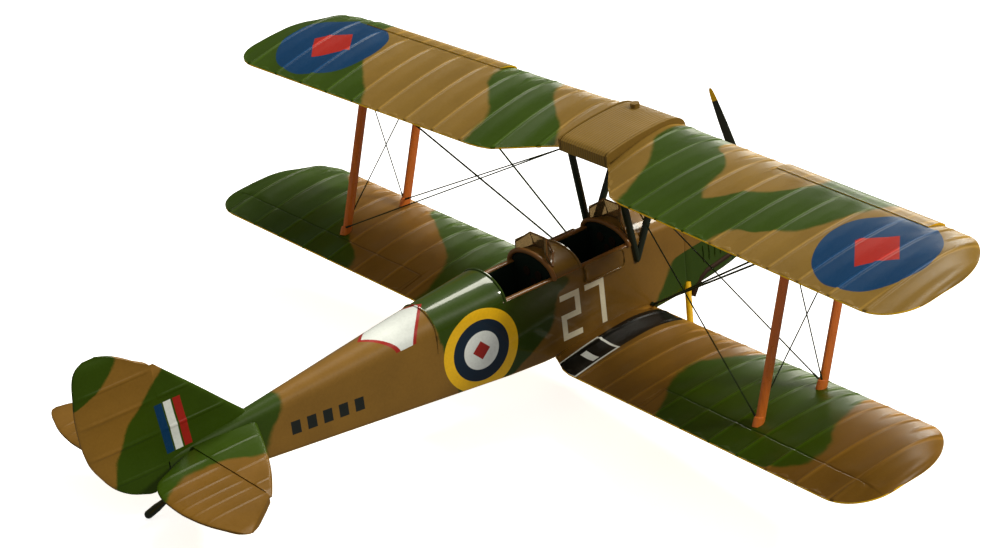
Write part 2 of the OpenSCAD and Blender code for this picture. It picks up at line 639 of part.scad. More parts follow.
rim_r = wheel_r * 0.66;
module tyre() {
    translate([hub_x, axle_y, axle_z]) rotate([0, 90, 0]) rotate_extrude($fn = 64)
        difference() {
            intersection() {
                translate([wheel_r - wheel_w / 2, 0]) circle(d = wheel_w);
                translate([rim_r, -wheel_w]) square([wheel_r, 2 * wheel_w]);
            }
        }
}
module wheel() {
    disc_w = wheel_w * 0.72;
    translate([hub_x, axle_y, axle_z]) rotate([0, 90, 0]) difference() {
        union() {
            cylinder(r = rim_r, h = disc_w, center = true);
            cylinder(r = axle_r + 0.5, h = wheel_w, center = true);
        }
        cylinder(r = axle_r + running_gap, h = 3 * wheel_w, center = true);
    }
}
module wheel_left() color([0.3, 0.32, 0.14]) posed() wheel();
module wheel_right() color([0.3, 0.32, 0.14]) posed() right() wheel();
module tyre_left() color([0.05, 0.05, 0.05]) posed() tyre();
module tyre_right() color([0.05, 0.05, 0.05]) posed() right() tyre();

// Propeller and its bearing
hub_r = 1.15;
hub_front = 0.3;
hub_back = 1.75;
module along() { rotate([-90, 0, 0]) children(); }
module nose_bush() color([0.6, 0.5, 0.25]) posed() translate([0, cowl_front, 0]) along()
    difference() {
        cylinder(r = bush_r, h = bush_l);
        translate([0, 0, -1]) cylinder(r = shaft_r + running_gap, h = bush_l + 2);
    }
module propeller_shaft() color([0.6, 0.6, 0.6]) posed() along() {
    translate([0, 0, hub_front]) cylinder(r = shaft_r, h = cowl_front + bush_l + 1 - hub_front);
    translate([0, 0, cowl_front + bush_l + 0.15])
        cylinder(r = shaft_r + 0.35, h = 0.6);
}
module propeller_boss() color([0.55, 0.55, 0.52]) posed() along() translate([0, 0, boss_y])
    rotate_extrude($fn = 48) polygon([[0, 0], [0.28, 0.05], [0.5, 0.3], [0.6, 0.9],
        [0.75, 1.1], [0.75, hub_front - boss_y], [0, hub_front - boss_y]]);
// Blade: [radius, chord, thickness, blade angle], both blades alike
blade_line = [[0.06, 1.3, 1.0, 62], [0.13, 1.5, 0.9, 52], [0.25, 2.1, 0.62, 40],
    [0.45, 2.5, 0.5, 28], [0.65, 2.4, 0.42, 21], [0.82, 2.1, 0.34, 17], [0.93, 1.6, 0.28, 15],
    [0.985, 0.9, 0.2, 14], [1.0, 0.35, 0.14, 14]];
function blade_ring(p) = [for (q = [[-0.5, 0], [-0.2, -0.5], [0.25, -0.4], [0.5, 0.02],
    [0.1, 0.5], [-0.25, 0.42]])
    let (u = q[0] * p[1], v = q[1] * p[2])
    [u * cos(p[3]) - v * sin(p[3]), (hub_front + hub_back) / 2 + u * sin(p[3]) + v * cos(p[3]),
        p[0] * prop_r]];
module blade() { loft([for (p = blade_line) blade_ring(p)]); }
module propeller() color([0.12, 0.12, 0.11]) posed() rotate([0, prop_turn, 0]) {
    difference() {
        union() {
            translate([0, hub_front, 0]) along() cylinder(r = hub_r, h = hub_back - hub_front);
            blade();
            rotate([0, 180, 0]) blade();
        }
        along() translate([0, 0, -2]) cylinder(r = shaft_r, h = 6);
    }
}

// Socket in the belly for the peg of a display stand
module stand_socket() color([0.3, 0.3, 0.28]) posed()
    translate([0, socket_y, belly_z]) difference() {
        cylinder(d = socket_d + 1.2, h = socket_depth + 0.3);
        translate([0, 0, -1]) cylinder(d = socket_d, h = socket_depth + 1);
    }

fuselage_left();
fuselage_right();
engine_cowl();
cooling_scoop();
exhaust_pipe();
cockpit_floor();
instrument_panel_front();
instrument_panel_rear();
seat_front();
seat_rear();
control_stick_front();
control_stick_rear();
windscreen_front();
windscreen_rear();
door_left();
door_right();
upper_wing_left();
upper_wing_right();
slat_left();
slat_right();
fuel_tank();
filler_cap();
lower_wing_left();
lower_wing_right();
strut_front_left();
strut_rear_left();
strut_front_right();
strut_rear_right();
cabane_left();
cabane_right();
flying_wires();
landing_wires();
incidence_wires();
tailplane_left();
tailplane_right();
elevator_left();
elevator_right();
fin();
rudder();
tailplane_stays();
tail_skid();
leg_left();
leg_right();
axle_strut_left();
axle_strut_right();
axle_cap_left();
axle_cap_right();
wheel_left();
wheel_right();
tyre_left();
tyre_right();
nose_bush();
propeller_shaft();
propeller_boss();
propeller();
stand_socket();
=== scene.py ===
"""Display model of an open-cockpit trainer biplane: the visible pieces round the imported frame."""

import json
import logging
import math
from dataclasses import dataclass, field
from enum import Enum
from functools import reduce
from typing import Iterable, Sequence, Union

import bmesh
import bpy
from mathutils import Matrix, Vector


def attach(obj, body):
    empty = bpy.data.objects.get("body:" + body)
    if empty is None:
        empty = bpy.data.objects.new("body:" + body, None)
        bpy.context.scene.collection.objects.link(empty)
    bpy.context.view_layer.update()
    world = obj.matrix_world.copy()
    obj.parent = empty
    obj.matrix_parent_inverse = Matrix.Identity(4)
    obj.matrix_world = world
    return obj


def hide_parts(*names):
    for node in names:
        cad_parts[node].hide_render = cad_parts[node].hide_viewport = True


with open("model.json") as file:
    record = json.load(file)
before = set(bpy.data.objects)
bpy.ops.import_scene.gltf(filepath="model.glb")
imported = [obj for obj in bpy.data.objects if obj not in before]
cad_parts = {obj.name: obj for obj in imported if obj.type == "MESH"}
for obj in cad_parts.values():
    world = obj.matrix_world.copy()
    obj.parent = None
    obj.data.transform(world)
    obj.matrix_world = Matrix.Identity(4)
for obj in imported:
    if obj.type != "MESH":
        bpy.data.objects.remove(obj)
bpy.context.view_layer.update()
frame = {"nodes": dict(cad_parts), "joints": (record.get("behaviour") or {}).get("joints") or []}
LOG = logging.getLogger("biplane")
MM = 0.001
Point = tuple[float, float, float]
Pair = tuple[float, float]
Triple = tuple[float, float, float]
Colour = tuple[float, float, float]
Shell = tuple[list[Point], list[list[int]]]
Line = Sequence[Pair]
Node = bpy.types.Node
Socket = bpy.types.NodeSocket
Value = Union[Socket, float, Sequence[float]]


class Finish(Enum):
    """Names of the finishes, which are also the materials' names."""

    UPPER = "upper wing camouflage"
    LOWER = "lower wing camouflage"
    BODY = "fuselage camouflage"
    TAIL = "tailplane camouflage"
    FIN = "fin and rudder camouflage"
    TANK = "tank dark earth"
    WOOD = "strut wood tone"
    DARK = "near-black green"
    WIRE = "rigging thread"
    LEATHER = "coaming leather"
    SEAT = "seat brown"
    COCKPIT = "cockpit green"
    BLACK = "instrument black"
    PANEL = "panel brown"
    GLASS = "windscreen clear"
    YELLOW = "trainer yellow"
    WHEEL = "wheel disc yellow"
    TYRE = "tyre rubber"
    METAL = "dull metal"
    BRASS = "bush brass"
    PROPELLER = "propeller black and yellow"
    EXHAUST = "burnt exhaust"
    FLOOR = "pale floor"


def srgb(r: float, g: float, b: float) -> Colour:
    """The linear colour of three 0 to 255 values.

    Args:
        r: red.
        g: green.
        b: blue.

    Returns:
        The three linear channels.
    """
    def one(v: float) -> float:
        """One channel."""
        v /= 255.0
        return v / 12.92 if v <= 0.04045 else ((v + 0.055) / 1.055) ** 2.4

    return one(r), one(g), one(b)


GREEN = srgb(52, 74, 4)
EARTH = srgb(132, 102, 42)
WARM_EARTH = srgb(138, 100, 36)
DEEP_EARTH = srgb(123, 87, 28)
YELLOW = srgb(250, 194, 26)
WHITE = srgb(236, 240, 234)
RED = srgb(168, 38, 28)
BLUE = srgb(10, 58, 98)
NAVY = srgb(20, 40, 58)

SIDES = (("left", 1), ("right", -1))
WING_CHORD = 18.3
MID_CHORD = 9.0
RIB_FIRST = 1.66
LOWER_RIB_FIRST = 2.0
RIB_PITCH = 5.12
SLAT_SPAN: Pair = (25.8, 51.9)
AILERON: Pair = (24.0, 14.0)
STRUT_SPAN = 39.9
STRUT_PLACES: Pair = (2.7, 12.9)
UPPER_ROOT: Line = [(4.62, 12.67), (12.2, 17.75), (13.8, 18.15), (15.4, 18.3)]
LOWER_ROOT: Line = [(4.36, 16.5), (8.4, 17.95), (10.4, 18.3)]


def interp(points: Line, x: float) -> float:
    """Straight-line value at x of a list of (x, value), held at its ends.

    Args:
        points: places and values in rising order.
        x: where to read.

    Returns:
        The value.
    """
    if x <= points[0][0]:
        return points[0][1]
    for (a, va), (b, vb) in zip(points, points[1:]):
        if x <= b:
            return va + (vb - va) * (x - a) / (b - a)
    return points[-1][1]


def smooth_interp(points: Line, x: float) -> float:
    """Smooth value at x of a list of (x, value), with no overshoot.

    Args:
        points: places and values in rising order.
        x: where to read.

    Returns:
        The cubic's value, held at its ends.
    """
    n = len(points)
    if x <= points[0][0]:
        return points[0][1]
    if x >= points[-1][0]:
        return points[-1][1]
    slope = [(points[i + 1][1] - points[i][1]) / (points[i + 1][0] - points[i][0]) for i in range(n - 1)]
    tangent = [slope[0]]
    for i in range(1, n - 1):
        a, b = slope[i - 1], slope[i]
        tangent.append(0.0 if a * b <= 0 else 2 * a * b / (a + b))
    tangent.append(slope[-1])
    i = next(k for k in range(n - 1) if x <= points[k + 1][0])
    (x0, y0), (x1, y1) = points[i], points[i + 1]
    h = x1 - x0
    t = (x - x0) / h
    return ((2 * t ** 3 - 3 * t ** 2 + 1) * y0 + (t ** 3 - 2 * t ** 2 + t) * h * tangent[i]
            + (3 * t ** 2 - 2 * t ** 3) * y1 + (t ** 3 - t ** 2) * h * tangent[i + 1])


def ramp(a: float, b: float, x: float) -> float:
    """0 before a, 1 after b, eased between."""
    t = min(1.0, max(0.0, (x - a) / (b - a)))
    return t * t * (3 - 2 * t)


@dataclass(frozen=True)
class Stance:
    """How the level aircraft frame, in mm, stands in the row's frame."""

    pitch: float
    shift_y: float
    shift_z: float

    @classmethod
    def from_frame(cls) -> "Stance":
        """Reads the tip-back from the propeller's joint, whose place is 1 mm aft of the nose.

        Returns:
            The stance.
        """
        joint = next(j for j in frame["joints"] if j["name"] == "propeller_spin")
        pitch = math.atan2(-joint["axis"][2], joint["axis"][1])
        return cls(pitch, joint["pos_m"][1] / MM - math.cos(pitch), joint["pos_m"][2] / MM + math.sin(pitch))

    def turn(self, p: Point) -> Vector:
        """A direction of the aircraft frame in the row's frame."""
        c, s = math.cos(self.pitch), math.sin(self.pitch)
        return Vector((p[0], p[1] * c + p[2] * s, -p[1] * s + p[2] * c))

    def at(self, p: Point) -> Vector:
        """A point of the aircraft frame in the row's frame, in metres."""
        return (self.turn(p) + Vector((0, self.shift_y, self.shift_z))) * MM


STANCE = Stance.from_frame()


@dataclass(frozen=True)
class WingPlan:
    """Where a pair of wings lies: its nose at the middle, and how that runs outwards and falls aft."""

    lead_y: float
    lead_z: float
    sweep: float
    dihedral: float
    incidence: float

    def at(self, x: float, ch: float, line: float = 0.0) -> Point:
        """The place at span x and chord place ch, line mm above the chord."""
        return x, self.lead_y + self.sweep * x + ch, self.lead_z + self.dihedral * x - self.incidence * ch + line


UPPER_PLAN = WingPlan(14.5, 14.3, 0.094, 0.039, 0.066)
LOWER_PLAN = WingPlan(21.7, -8.45, 0.086, 0.073, 0.02)


def spaced(marks: Iterable[float], lo: float, hi: float, apart: float) -> list[float]:
    """The marks in order, without those too near the one before.

    Args:
        marks: places in any order.
        lo: the least that is kept.
        hi: the most that is kept.
        apart: how far a mark has to be past the one before.

    Returns:
        The places in rising order.
    """
    ordered = sorted(m for m in marks if lo <= m <= hi)
    return [m for i, m in enumerate(ordered) if i == 0 or m - ordered[i - 1] > apart]


# Meshes


def make_mesh(name: str, points: Sequence[Point], faces: Sequence[Sequence[int]],
              angle: float = 38.0) -> bpy.types.Object:
    """A new object from points of the aircraft frame.

    Args:
        name: the piece's name.
        points: places in mm in the aircraft frame.
        faces: lists of point numbers.
        angle: the angle in degrees past which an edge stays sharp.

    Returns:
        The object, with its faces turned outwards.
    """
    mesh = bpy.data.meshes.new(name)
    mesh.from_pydata([STANCE.at(p) for p in points], [], faces)
    bm = bmesh.new()
    bm.from_mesh(mesh)
    bmesh.ops.remove_doubles(bm, verts=bm.verts, dist=1e-6)
    bmesh.ops.dissolve_degenerate(bm, edges=bm.edges, dist=1e-7)
    bmesh.ops.recalc_face_normals(bm, faces=bm.faces)
    bm.to_mesh(mesh)
    bm.free()
    obj = bpy.data.objects.new(name, mesh)
    bpy.context.scene.collection.objects.link(obj)
    soften(obj, angle)
    return obj


def soften(obj: bpy.types.Object, angle: float) -> None:
    """Smooth shading with sharp edges past an angle in degrees."""
    obj.data.shade_smooth()
    obj.data.set_sharp_from_angle(angle=math.radians(angle))


def ring_skin(rings: Sequence[Sequence[Point]]) -> Shell:
    """Points and faces of a closed skin over closed rings.

    Args:
        rings: lists of points, all of one length.

    Returns:
        (points, faces)
    """
    n = len(rings[0])
    points = [p for r in rings for p in r]
    faces = []
    for k in range(len(rings) - 1):
        for i in range(n):
            a, b = k * n + i, k * n + (i + 1) % n
            faces.append([a, b, b + n, a + n])
    faces.append(list(range(n)))
    faces.append([(len(rings) - 1) * n + i for i in range(n)])
    return points, faces


def skin(name: str, rings: Sequence[Sequence[Point]], angle: float = 38.0) -> bpy.types.Object:
    """A piece lofted over closed rings, with edges past an angle in degrees kept sharp."""
    return make_mesh(name, *ring_skin(rings), angle)


def tube(path: Sequence[Point], radius: Sequence[float] | float, sides: int,
         flatten: Pair = (1.0, 1.0)) -> Shell:
    """Points and faces of a closed tube along a path.

    Args:
        path: points in mm.
        radius: in mm, for the whole path or for each of its points.
        sides: points round it.
        flatten: shares of the radius across and upwards.

    Returns:
        (points, faces)
    """
    rings = []
    for k, p in enumerate(path):
        here = Vector(p)
        way = (Vector(path[min(k + 1, len(path) - 1)]) - Vector(path[max(k - 1, 0)])).normalized()
        side = way.cross(Vector((0, 0, 1)))
        side = Vector((1, 0, 0)) if side.length < 1e-4 else side.normalized()
        up = side.cross(way)
        r = radius if isinstance(radius, float) else radius[k]
        rings.append([tuple(here + side * (r * flatten[0] * math.cos(a)) + up * (r * flatten[1] * math.sin(a)))
                      for a in (2 * math.pi * i / sides for i in range(sides))])
    return ring_skin(rings)


def joined(parts: Iterable[Shell]) -> Shell:
    """Several (points, faces) as one.

    Args:
        parts: the shells.

    Returns:
        (points, faces)
    """
    points: list[Point] = []
    faces: list[list[int]] = []
    for p, f in parts:
        base = len(points)
        points += p
        faces += [[base + i for i in face] for face in f]
    return points, faces


def turned(profile: Line, centre: Point, sides: int = 48) -> Shell:
    """Points and faces of a closed turned shape about a fore-and-aft line.

    Args:
        profile: (along, radius) pairs in mm.
        centre: a point of the line.
        sides: points round it.

    Returns:
        (points, faces)
    """
    x, y, z = centre
    turns = [2 * math.pi * i / sides for i in range(sides)]
    return ring_skin([[(x + r * math.cos(a), y + along, z + r * math.sin(a)) for a in turns] for along, r in profile])


def place(obj: bpy.types.Object, finish: Finish, slot: str, body: str = "airframe",
          replaces: Sequence[str] = ()) -> None:
    """Gives a piece its finish and body, and hides the CAD nodes it stands for.

    Args:
        obj: the piece.
        finish: its finish.
        slot: its material slot in the part's record; not used.
        body: the body it moves with.
        replaces: the CAD nodes it stands for.
    """
    obj.data.materials.clear()
    obj.data.materials.append(PAINTS[finish])
    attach(obj, body)
    if replaces:
        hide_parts(*replaces)


# Shader work


@dataclass
class Tree:
    """A node tree with short ways to add to it."""

    tree: bpy.types.NodeTree

    def add(self, kind: str, **settings: object) -> Node:
        """A new node of a kind with its settings.

        Args:
            kind: the node's type.
            settings: its properties by name.

        Returns:
            The node.
        """
        node = self.tree.nodes.new(kind)
        for key, value in settings.items():
            setattr(node, key, value)
        return node

    def feed(self, socket: Socket, value: Value) -> None:
        """Links a socket to another, or sets its own value.

        Args:
            socket: the input.
            value: a socket to link, or a number or numbers to set.
        """
        if isinstance(value, bpy.types.NodeSocket):
            self.tree.links.new(value, socket)
        elif hasattr(socket.default_value, "__len__"):
            lacks_alpha = len(socket.default_value) == 4 and len(value) == 3
            socket.default_value = (*value, 1.0) if lacks_alpha else tuple(value)
        else:
            socket.default_value = value

    def made(self, kind: str, values: Iterable[tuple[Union[int, str], Value]], out: Union[int, str] = 0,
             **settings: object) -> Socket:
        """One output of a new node.

        Args:
            kind: the node's type.
            values: (input, value) pairs.
            out: the output.
            settings: the node's properties by name.

        Returns:
            The output's socket.
        """
        node = self.add(kind, **settings)
        for key, value in values:
            self.feed(node.inputs[key], value)
        return node.outputs[out]

    def math(self, op: str, *values: Value, clamp: bool = False) -> Socket:
        """The result of a Math node."""
        return self.made("ShaderNodeMath", enumerate(values), operation=op, use_clamp=clamp)

    def plus(self, a: Value, b: Value, clamp: bool = False) -> Socket:
        """The sum of two values."""
        return self.math("ADD", a, b, clamp=clamp)

    def sub(self, a: Value, b: Value) -> Socket:
        """The first value less the second."""
        return self.math("SUBTRACT", a, b)

    def mul(self, a: Value, b: Value, clamp: bool = False) -> Socket:
        """The product of two values."""
        return self.math("MULTIPLY", a, b, clamp=clamp)

    def size(self, a: Value) -> Socket:
        """A value without its sign."""
        return self.math("ABSOLUTE", a)

    def mix(self, mask: Value, a: Value, b: Value) -> Socket:
        """Colour a where the mask is 0 and b where it is 1."""
        return self.made("ShaderNodeMix", ((0, mask), (6, a), (7, b)), 2, data_type="RGBA")

    def scaled(self, colour: Value, by: Value) -> Socket:
        """A colour times a value."""
        return self.made("ShaderNodeVectorMath", ((0, colour), ("Scale", by)), operation="SCALE")

    def noise(self, vector: Socket, scale: float, detail: float) -> Socket:
        """The value of a noise texture."""
        return self.made("ShaderNodeTexNoise", (("Vector", vector), ("Scale", scale), ("Detail", detail)), "Fac")

    def split(self, vector: Socket) -> tuple[Socket, Socket, Socket]:
        """The three parts of a vector.

        Args:
            vector: the vector.

        Returns:
            Its x, y and z.
        """
        node = self.add("ShaderNodeSeparateXYZ")
        self.feed(node.inputs[0], vector)
        return node.outputs[0], node.outputs[1], node.outputs[2]

    def join(self, x: Value, y: Value, z: Value) -> Socket:
        """A vector from three parts."""
        return self.made("ShaderNodeCombineXYZ", enumerate((x, y, z)))

    def group(self, name: str, **inputs: Value) -> Node:
        """A node of one of the shared groups.

        Args:
            name: the group's name.
            inputs: its inputs by name, with _ for a space.

        Returns:
            The node.
        """
        node = self.add("ShaderNodeGroup", node_tree=bpy.data.node_groups[name])
        for key, value in inputs.items():
            self.feed(node.inputs[key.replace("_", " ")], value)
        return node

    def curve(self, value: Socket, points: Line) -> Socket:
        """A curve through (input, output) pairs of any range.

        Args:
            value: the input.
            points: the pairs, in rising order.

        Returns:
            The output.
        """
        xs, ys = [p[0] for p in points], [p[1] for p in points]
        x0, x1, y0, y1 = min(xs), max(xs), min(ys), max(ys) + 1e-6
        share = self.math("DIVIDE", self.sub(value, x0), x1 - x0, clamp=True)
        node = self.add("ShaderNodeFloatCurve")
        line = node.mapping.curves[0]
        places = [((x - x0) / (x1 - x0), (y - y0) / (y1 - y0)) for x, y in points]
        line.points[0].location, line.points[1].location = places[0], places[-1]
        for inner in places[1:-1]:
            line.points.new(*inner)
        node.mapping.update()
        self.feed(node.inputs["Value"], share)
        return self.plus(self.mul(node.outputs[0], y1 - y0), y0)

    def past(self, value: Socket, along: Socket, points: Line, where: Socket,
             feather: float = 0.45) -> Socket:
        """1 where value is past a boundary curve, with a sprayed edge.

        Args:
            value: the coordinate across the boundary, in mm.
            along: the coordinate along it.
            points: (along, value) pairs of the boundary.
            where: the place vector, for the edge's unevenness.
            feather: the edge's width in mm.

        Returns:
            The mask.
        """
        line = self.curve(along, points)
        distance = self.sub(value, line)
        return self.group("sprayed edge", Distance=distance, Feather=feather, Place=where).outputs[0]

    def either(self, *masks: Socket) -> Socket:
        """The largest of several masks."""
        return reduce(lambda a, b: self.math("MAXIMUM", a, b), masks)

    def both(self, *masks: Socket) -> Socket:
        """The product of several masks."""
        return reduce(self.mul, masks)

    def without(self, mask: Socket) -> Socket:
        """The mask turned over."""
        return self.sub(1.0, mask)

    def shown_by(self, mask: Socket, share: float) -> Socket:
        """1 where the mask is 0, less by share where it is 1."""
        return self.sub(1.0, self.mul(mask, share))

    def step(self, value: Socket, at: float, slope: float) -> Socket:
        """A soft step from 0 to 1 as value passes at; a negative slope turns it over."""
        return self.plus(self.mul(self.sub(value, at), slope), 0.5, clamp=True)

    def away(self, u: Socket, v: Socket) -> Socket:
        """The distance of the point (u, v) from the origin."""
        return self.math("SQRT", self.plus(self.mul(u, u), self.mul(v, v)))

    def round_mark(self, kind: str, u: Socket, v: Socket, centre: Pair, size: float) -> Socket:
        """The mask of a disc or a diamond in mm; size is its radius or half diagonal."""
        return self.group(kind, U=u, V=v, Centre_U=centre[0], Centre_V=centre[1], Size=size).outputs[0]

    def bar(self, u: Socket, v: Socket, centre: Pair, half: Pair, lean: float = 0.0) -> Socket:
        """The mask of a bar in mm, which leans along u by lean for each mm of v."""
        return self.group("bar mark", U=u, V=v, Centre_U=centre[0], Centre_V=centre[1], Half_U=half[0],
                          Half_V=half[1], Lean=lean).outputs[0]


@dataclass
class PaintTree(Tree):
    """A material's tree with its shader and sockets for the place, its parts and the normal's parts."""

    shader: Node
    place: Socket
    x: Socket
    y: Socket
    z: Socket
    up: Socket
    side: Socket


class SharedGroups:
    """Node groups that more than one material uses."""

    SPRAY_WOBBLE: Triple = (0.35, 3.0, 1.3)
    SPRAY_SPECK: Triple = (7.0, 1.0, 0.35)
    MARK_CRISPNESS: float = 18.0
    DIAMOND_SLOPE: float = 0.7
    BROAD_NOISE: Triple = (0.16, 4.0, 0.45)
    FINE_NOISE: Triple = (3.2, 3.0, 0.22)
    GRIT_NOISE: Triple = (14.0, 2.0, 0.25)
    FINE_HEIGHT: float = 0.4
    ROUGHNESS_SHIFT: float = 0.25

    @staticmethod
    def start(name: str, inputs: Sequence[tuple[str, str, float]],
              outputs: Sequence[tuple[str, str]]) -> tuple[Tree, Node, Node]:
        """A new group with named sockets.

        Args:
            name: the group's name.
            inputs: (name, kind, first value), kind being Float or Vector.
            outputs: (name, kind).

        Returns:
            (tree, input node, output node)
        """
        tree = bpy.data.node_groups.new(name, "ShaderNodeTree")
        for title, kind, value in inputs:
            socket = tree.interface.new_socket(name=title, in_out="INPUT", socket_type="NodeSocket" + kind)
            if kind == "Float":
                socket.default_value = value
        for title, kind in outputs:
            tree.interface.new_socket(name=title, in_out="OUTPUT", socket_type="NodeSocket" + kind)
        return Tree(tree), tree.nodes.new("NodeGroupInput"), tree.nodes.new("NodeGroupOutput")

    @classmethod
    def build(cls) -> None:
        """Makes every group."""
        cls.aircraft_place()
        cls.sprayed_edge()
        cls.marks()
        cls.rib_tapes()
        cls.paint_surface()

    @classmethod
    def aircraft_place(cls) -> None:
        """Place in mm in the level aircraft frame, and the normal there."""
        outputs = [("Place", "Vector")] + [(name, "Float") for name in ("X", "Y", "Z", "Up", "Side")]
        t, _, out = cls.start("aircraft place", [], outputs)
        coords = t.add("ShaderNodeTexCoord")
        c, s = math.cos(STANCE.pitch), math.sin(STANCE.pitch)
        shift_y, shift_z = STANCE.shift_y, STANCE.shift_z
        mapping = t.add("ShaderNodeMapping", vector_type="POINT")
        t.feed(mapping.inputs["Vector"], coords.outputs["Object"])
        mapping.inputs["Scale"].default_value = (1 / MM,) * 3
        mapping.inputs["Rotation"].default_value = (STANCE.pitch, 0, 0)
        mapping.inputs["Location"].default_value = (0, -(shift_y * c - shift_z * s), -(shift_y * s + shift_z * c))
        x, y, z = t.split(mapping.outputs[0])
        nx, ny, nz = t.split(coords.outputs["Normal"])
        up = t.plus(t.mul(ny, s), t.mul(nz, c))
        for name, socket in (("Place", mapping.outputs[0]), ("X", x), ("Y", y), ("Z", z), ("Up", up), ("Side", nx)):
            t.feed(out.inputs[name], socket)

    @classmethod
    def sprayed_edge(cls) -> None:
        """A soft mask from a distance in mm, uneven as a spray gun leaves it."""
        inputs = [("Distance", "Float", 0), ("Feather", "Float", 0.5), ("Place", "Vector", 0)]
        t, into, out = cls.start("sprayed edge", inputs, [("Mask", "Float")])
        distance = into.outputs["Distance"]
        for scale, detail, share in (cls.SPRAY_WOBBLE, cls.SPRAY_SPECK):
            noise = t.sub(t.noise(into.outputs["Place"], scale, detail), 0.5)
            distance = t.plus(distance, t.mul(noise, share))
        step = t.add("ShaderNodeMapRange", interpolation_type="SMOOTHSTEP")
        t.feed(step.inputs["Value"], distance)
        t.feed(step.inputs["From Min"], t.mul(into.outputs["Feather"], -1.0))
        t.feed(step.inputs["From Max"], into.outputs["Feather"])
        t.feed(out.inputs["Mask"], step.outputs[0])

    @classmethod
    def marks(cls) -> None:
        """Printed marks: a disc, a diamond and a bar, each with a crisp edge."""
        round_inputs = ("U", "V", "Centre U", "Centre V", "Size")
        bar_inputs = ("U", "V", "Centre U", "Centre V", "Half U", "Half V", "Lean")
        for name, titles in (("disc mark", round_inputs), ("diamond mark", round_inputs), ("bar mark", bar_inputs)):
            t, into, out = cls.start(name, [(title, "Float", 0) for title in titles], [("Mask", "Float")])
            at = into.outputs
            du = t.sub(at["U"], at["Centre U"])
            dv = t.sub(at["V"], at["Centre V"])
            if name == "disc mark":
                inside = t.sub(at["Size"], t.away(du, dv))
            elif name == "diamond mark":
                reach = t.plus(t.size(du), t.size(dv))
                inside = t.mul(t.sub(at["Size"], reach), cls.DIAMOND_SLOPE)
            else:
                du = t.sub(du, t.mul(dv, at["Lean"]))
                inside = t.math("MINIMUM", t.sub(at["Half U"], t.size(du)), t.sub(at["Half V"], t.size(dv)))
            mask = t.plus(t.mul(inside, cls.MARK_CRISPNESS), 0.5, clamp=True)
            t.feed(out.inputs["Mask"], mask)

    @classmethod
    def rib_tapes(cls) -> None:
        """Masks for painted highlights on the wings: the rib tapes, the nose riblets and the nose itself, in mm."""
        inputs = [("Span", "Float", 0), ("Chord", "Float", 0), ("Sweep", "Float", 0.09), ("First", "Float", RIB_FIRST),
                  ("Pitch", "Float", RIB_PITCH)]
        t, into, out = cls.start("rib tapes", inputs, [(name, "Float") for name in ("Tape", "Riblet", "Nose")])
        at = into.outputs
        lean = t.mul(t.sub(MID_CHORD, at["Chord"]), at["Sweep"])
        station = t.sub(t.sub(at["Span"], lean), at["First"])
        folded = t.math("PINGPONG", t.math("DIVIDE", station, at["Pitch"]), 0.5)
        away = t.mul(folded, at["Pitch"])
        between = t.size(t.sub(away, t.mul(at["Pitch"], 0.5)))

        def fade(value: Socket, full: float, none: float) -> Socket:
            """1 below full, 0 above none.

            Args:
                value: what is read.
                full: where it starts to fade.
                none: where it has faded.

            Returns:
                The share.
            """
            step = t.add("ShaderNodeMapRange", interpolation_type="SMOOTHSTEP")
            limits = (("Value", value), ("From Min", full), ("From Max", none), ("To Min", 1.0), ("To Max", 0.0))
            for name, v in limits:
                t.feed(step.inputs[name], v)
            return step.outputs[0]

        t.feed(out.inputs["Tape"], fade(away, 0.1, 0.32))
        t.feed(out.inputs["Riblet"], t.mul(fade(between, 0.1, 0.5), fade(at["Chord"], 2.0, 3.6)))
        t.feed(out.inputs["Nose"], fade(at["Chord"], 0.2, 2.6))

    @classmethod
    def paint_surface(cls) -> None:
        """Fine unevenness of sprayed paint: a shade, a roughness shift and a height."""
        outputs = [(name, "Float") for name in ("Shade", "Roughness", "Height")]
        t, into, out = cls.start("paint surface", [("Place", "Vector", 0), ("Amount", "Float", 1.0)], outputs)
        noises = (cls.BROAD_NOISE, cls.FINE_NOISE, cls.GRIT_NOISE)
        broad, fine, grit = (t.noise(into.outputs["Place"], scale, detail) for scale, detail, _ in noises)
        amount = into.outputs["Amount"]
        fine_shift = t.sub(fine, 0.5)
        shade = t.plus(t.mul(t.sub(broad, 0.5), cls.BROAD_NOISE[2]), t.mul(fine_shift, cls.FINE_NOISE[2]))
        t.feed(out.inputs["Shade"], t.plus(1.0, t.mul(shade, amount)))
        shift = t.mul(amount, cls.ROUGHNESS_SHIFT)
        t.feed(out.inputs["Roughness"], t.mul(fine_shift, shift))
        height = t.plus(t.mul(fine, cls.FINE_HEIGHT), t.mul(grit, cls.GRIT_NOISE[2]))
        t.feed(out.inputs["Height"], height)


PAINTS: dict[Finish, bpy.types.Material] = {}


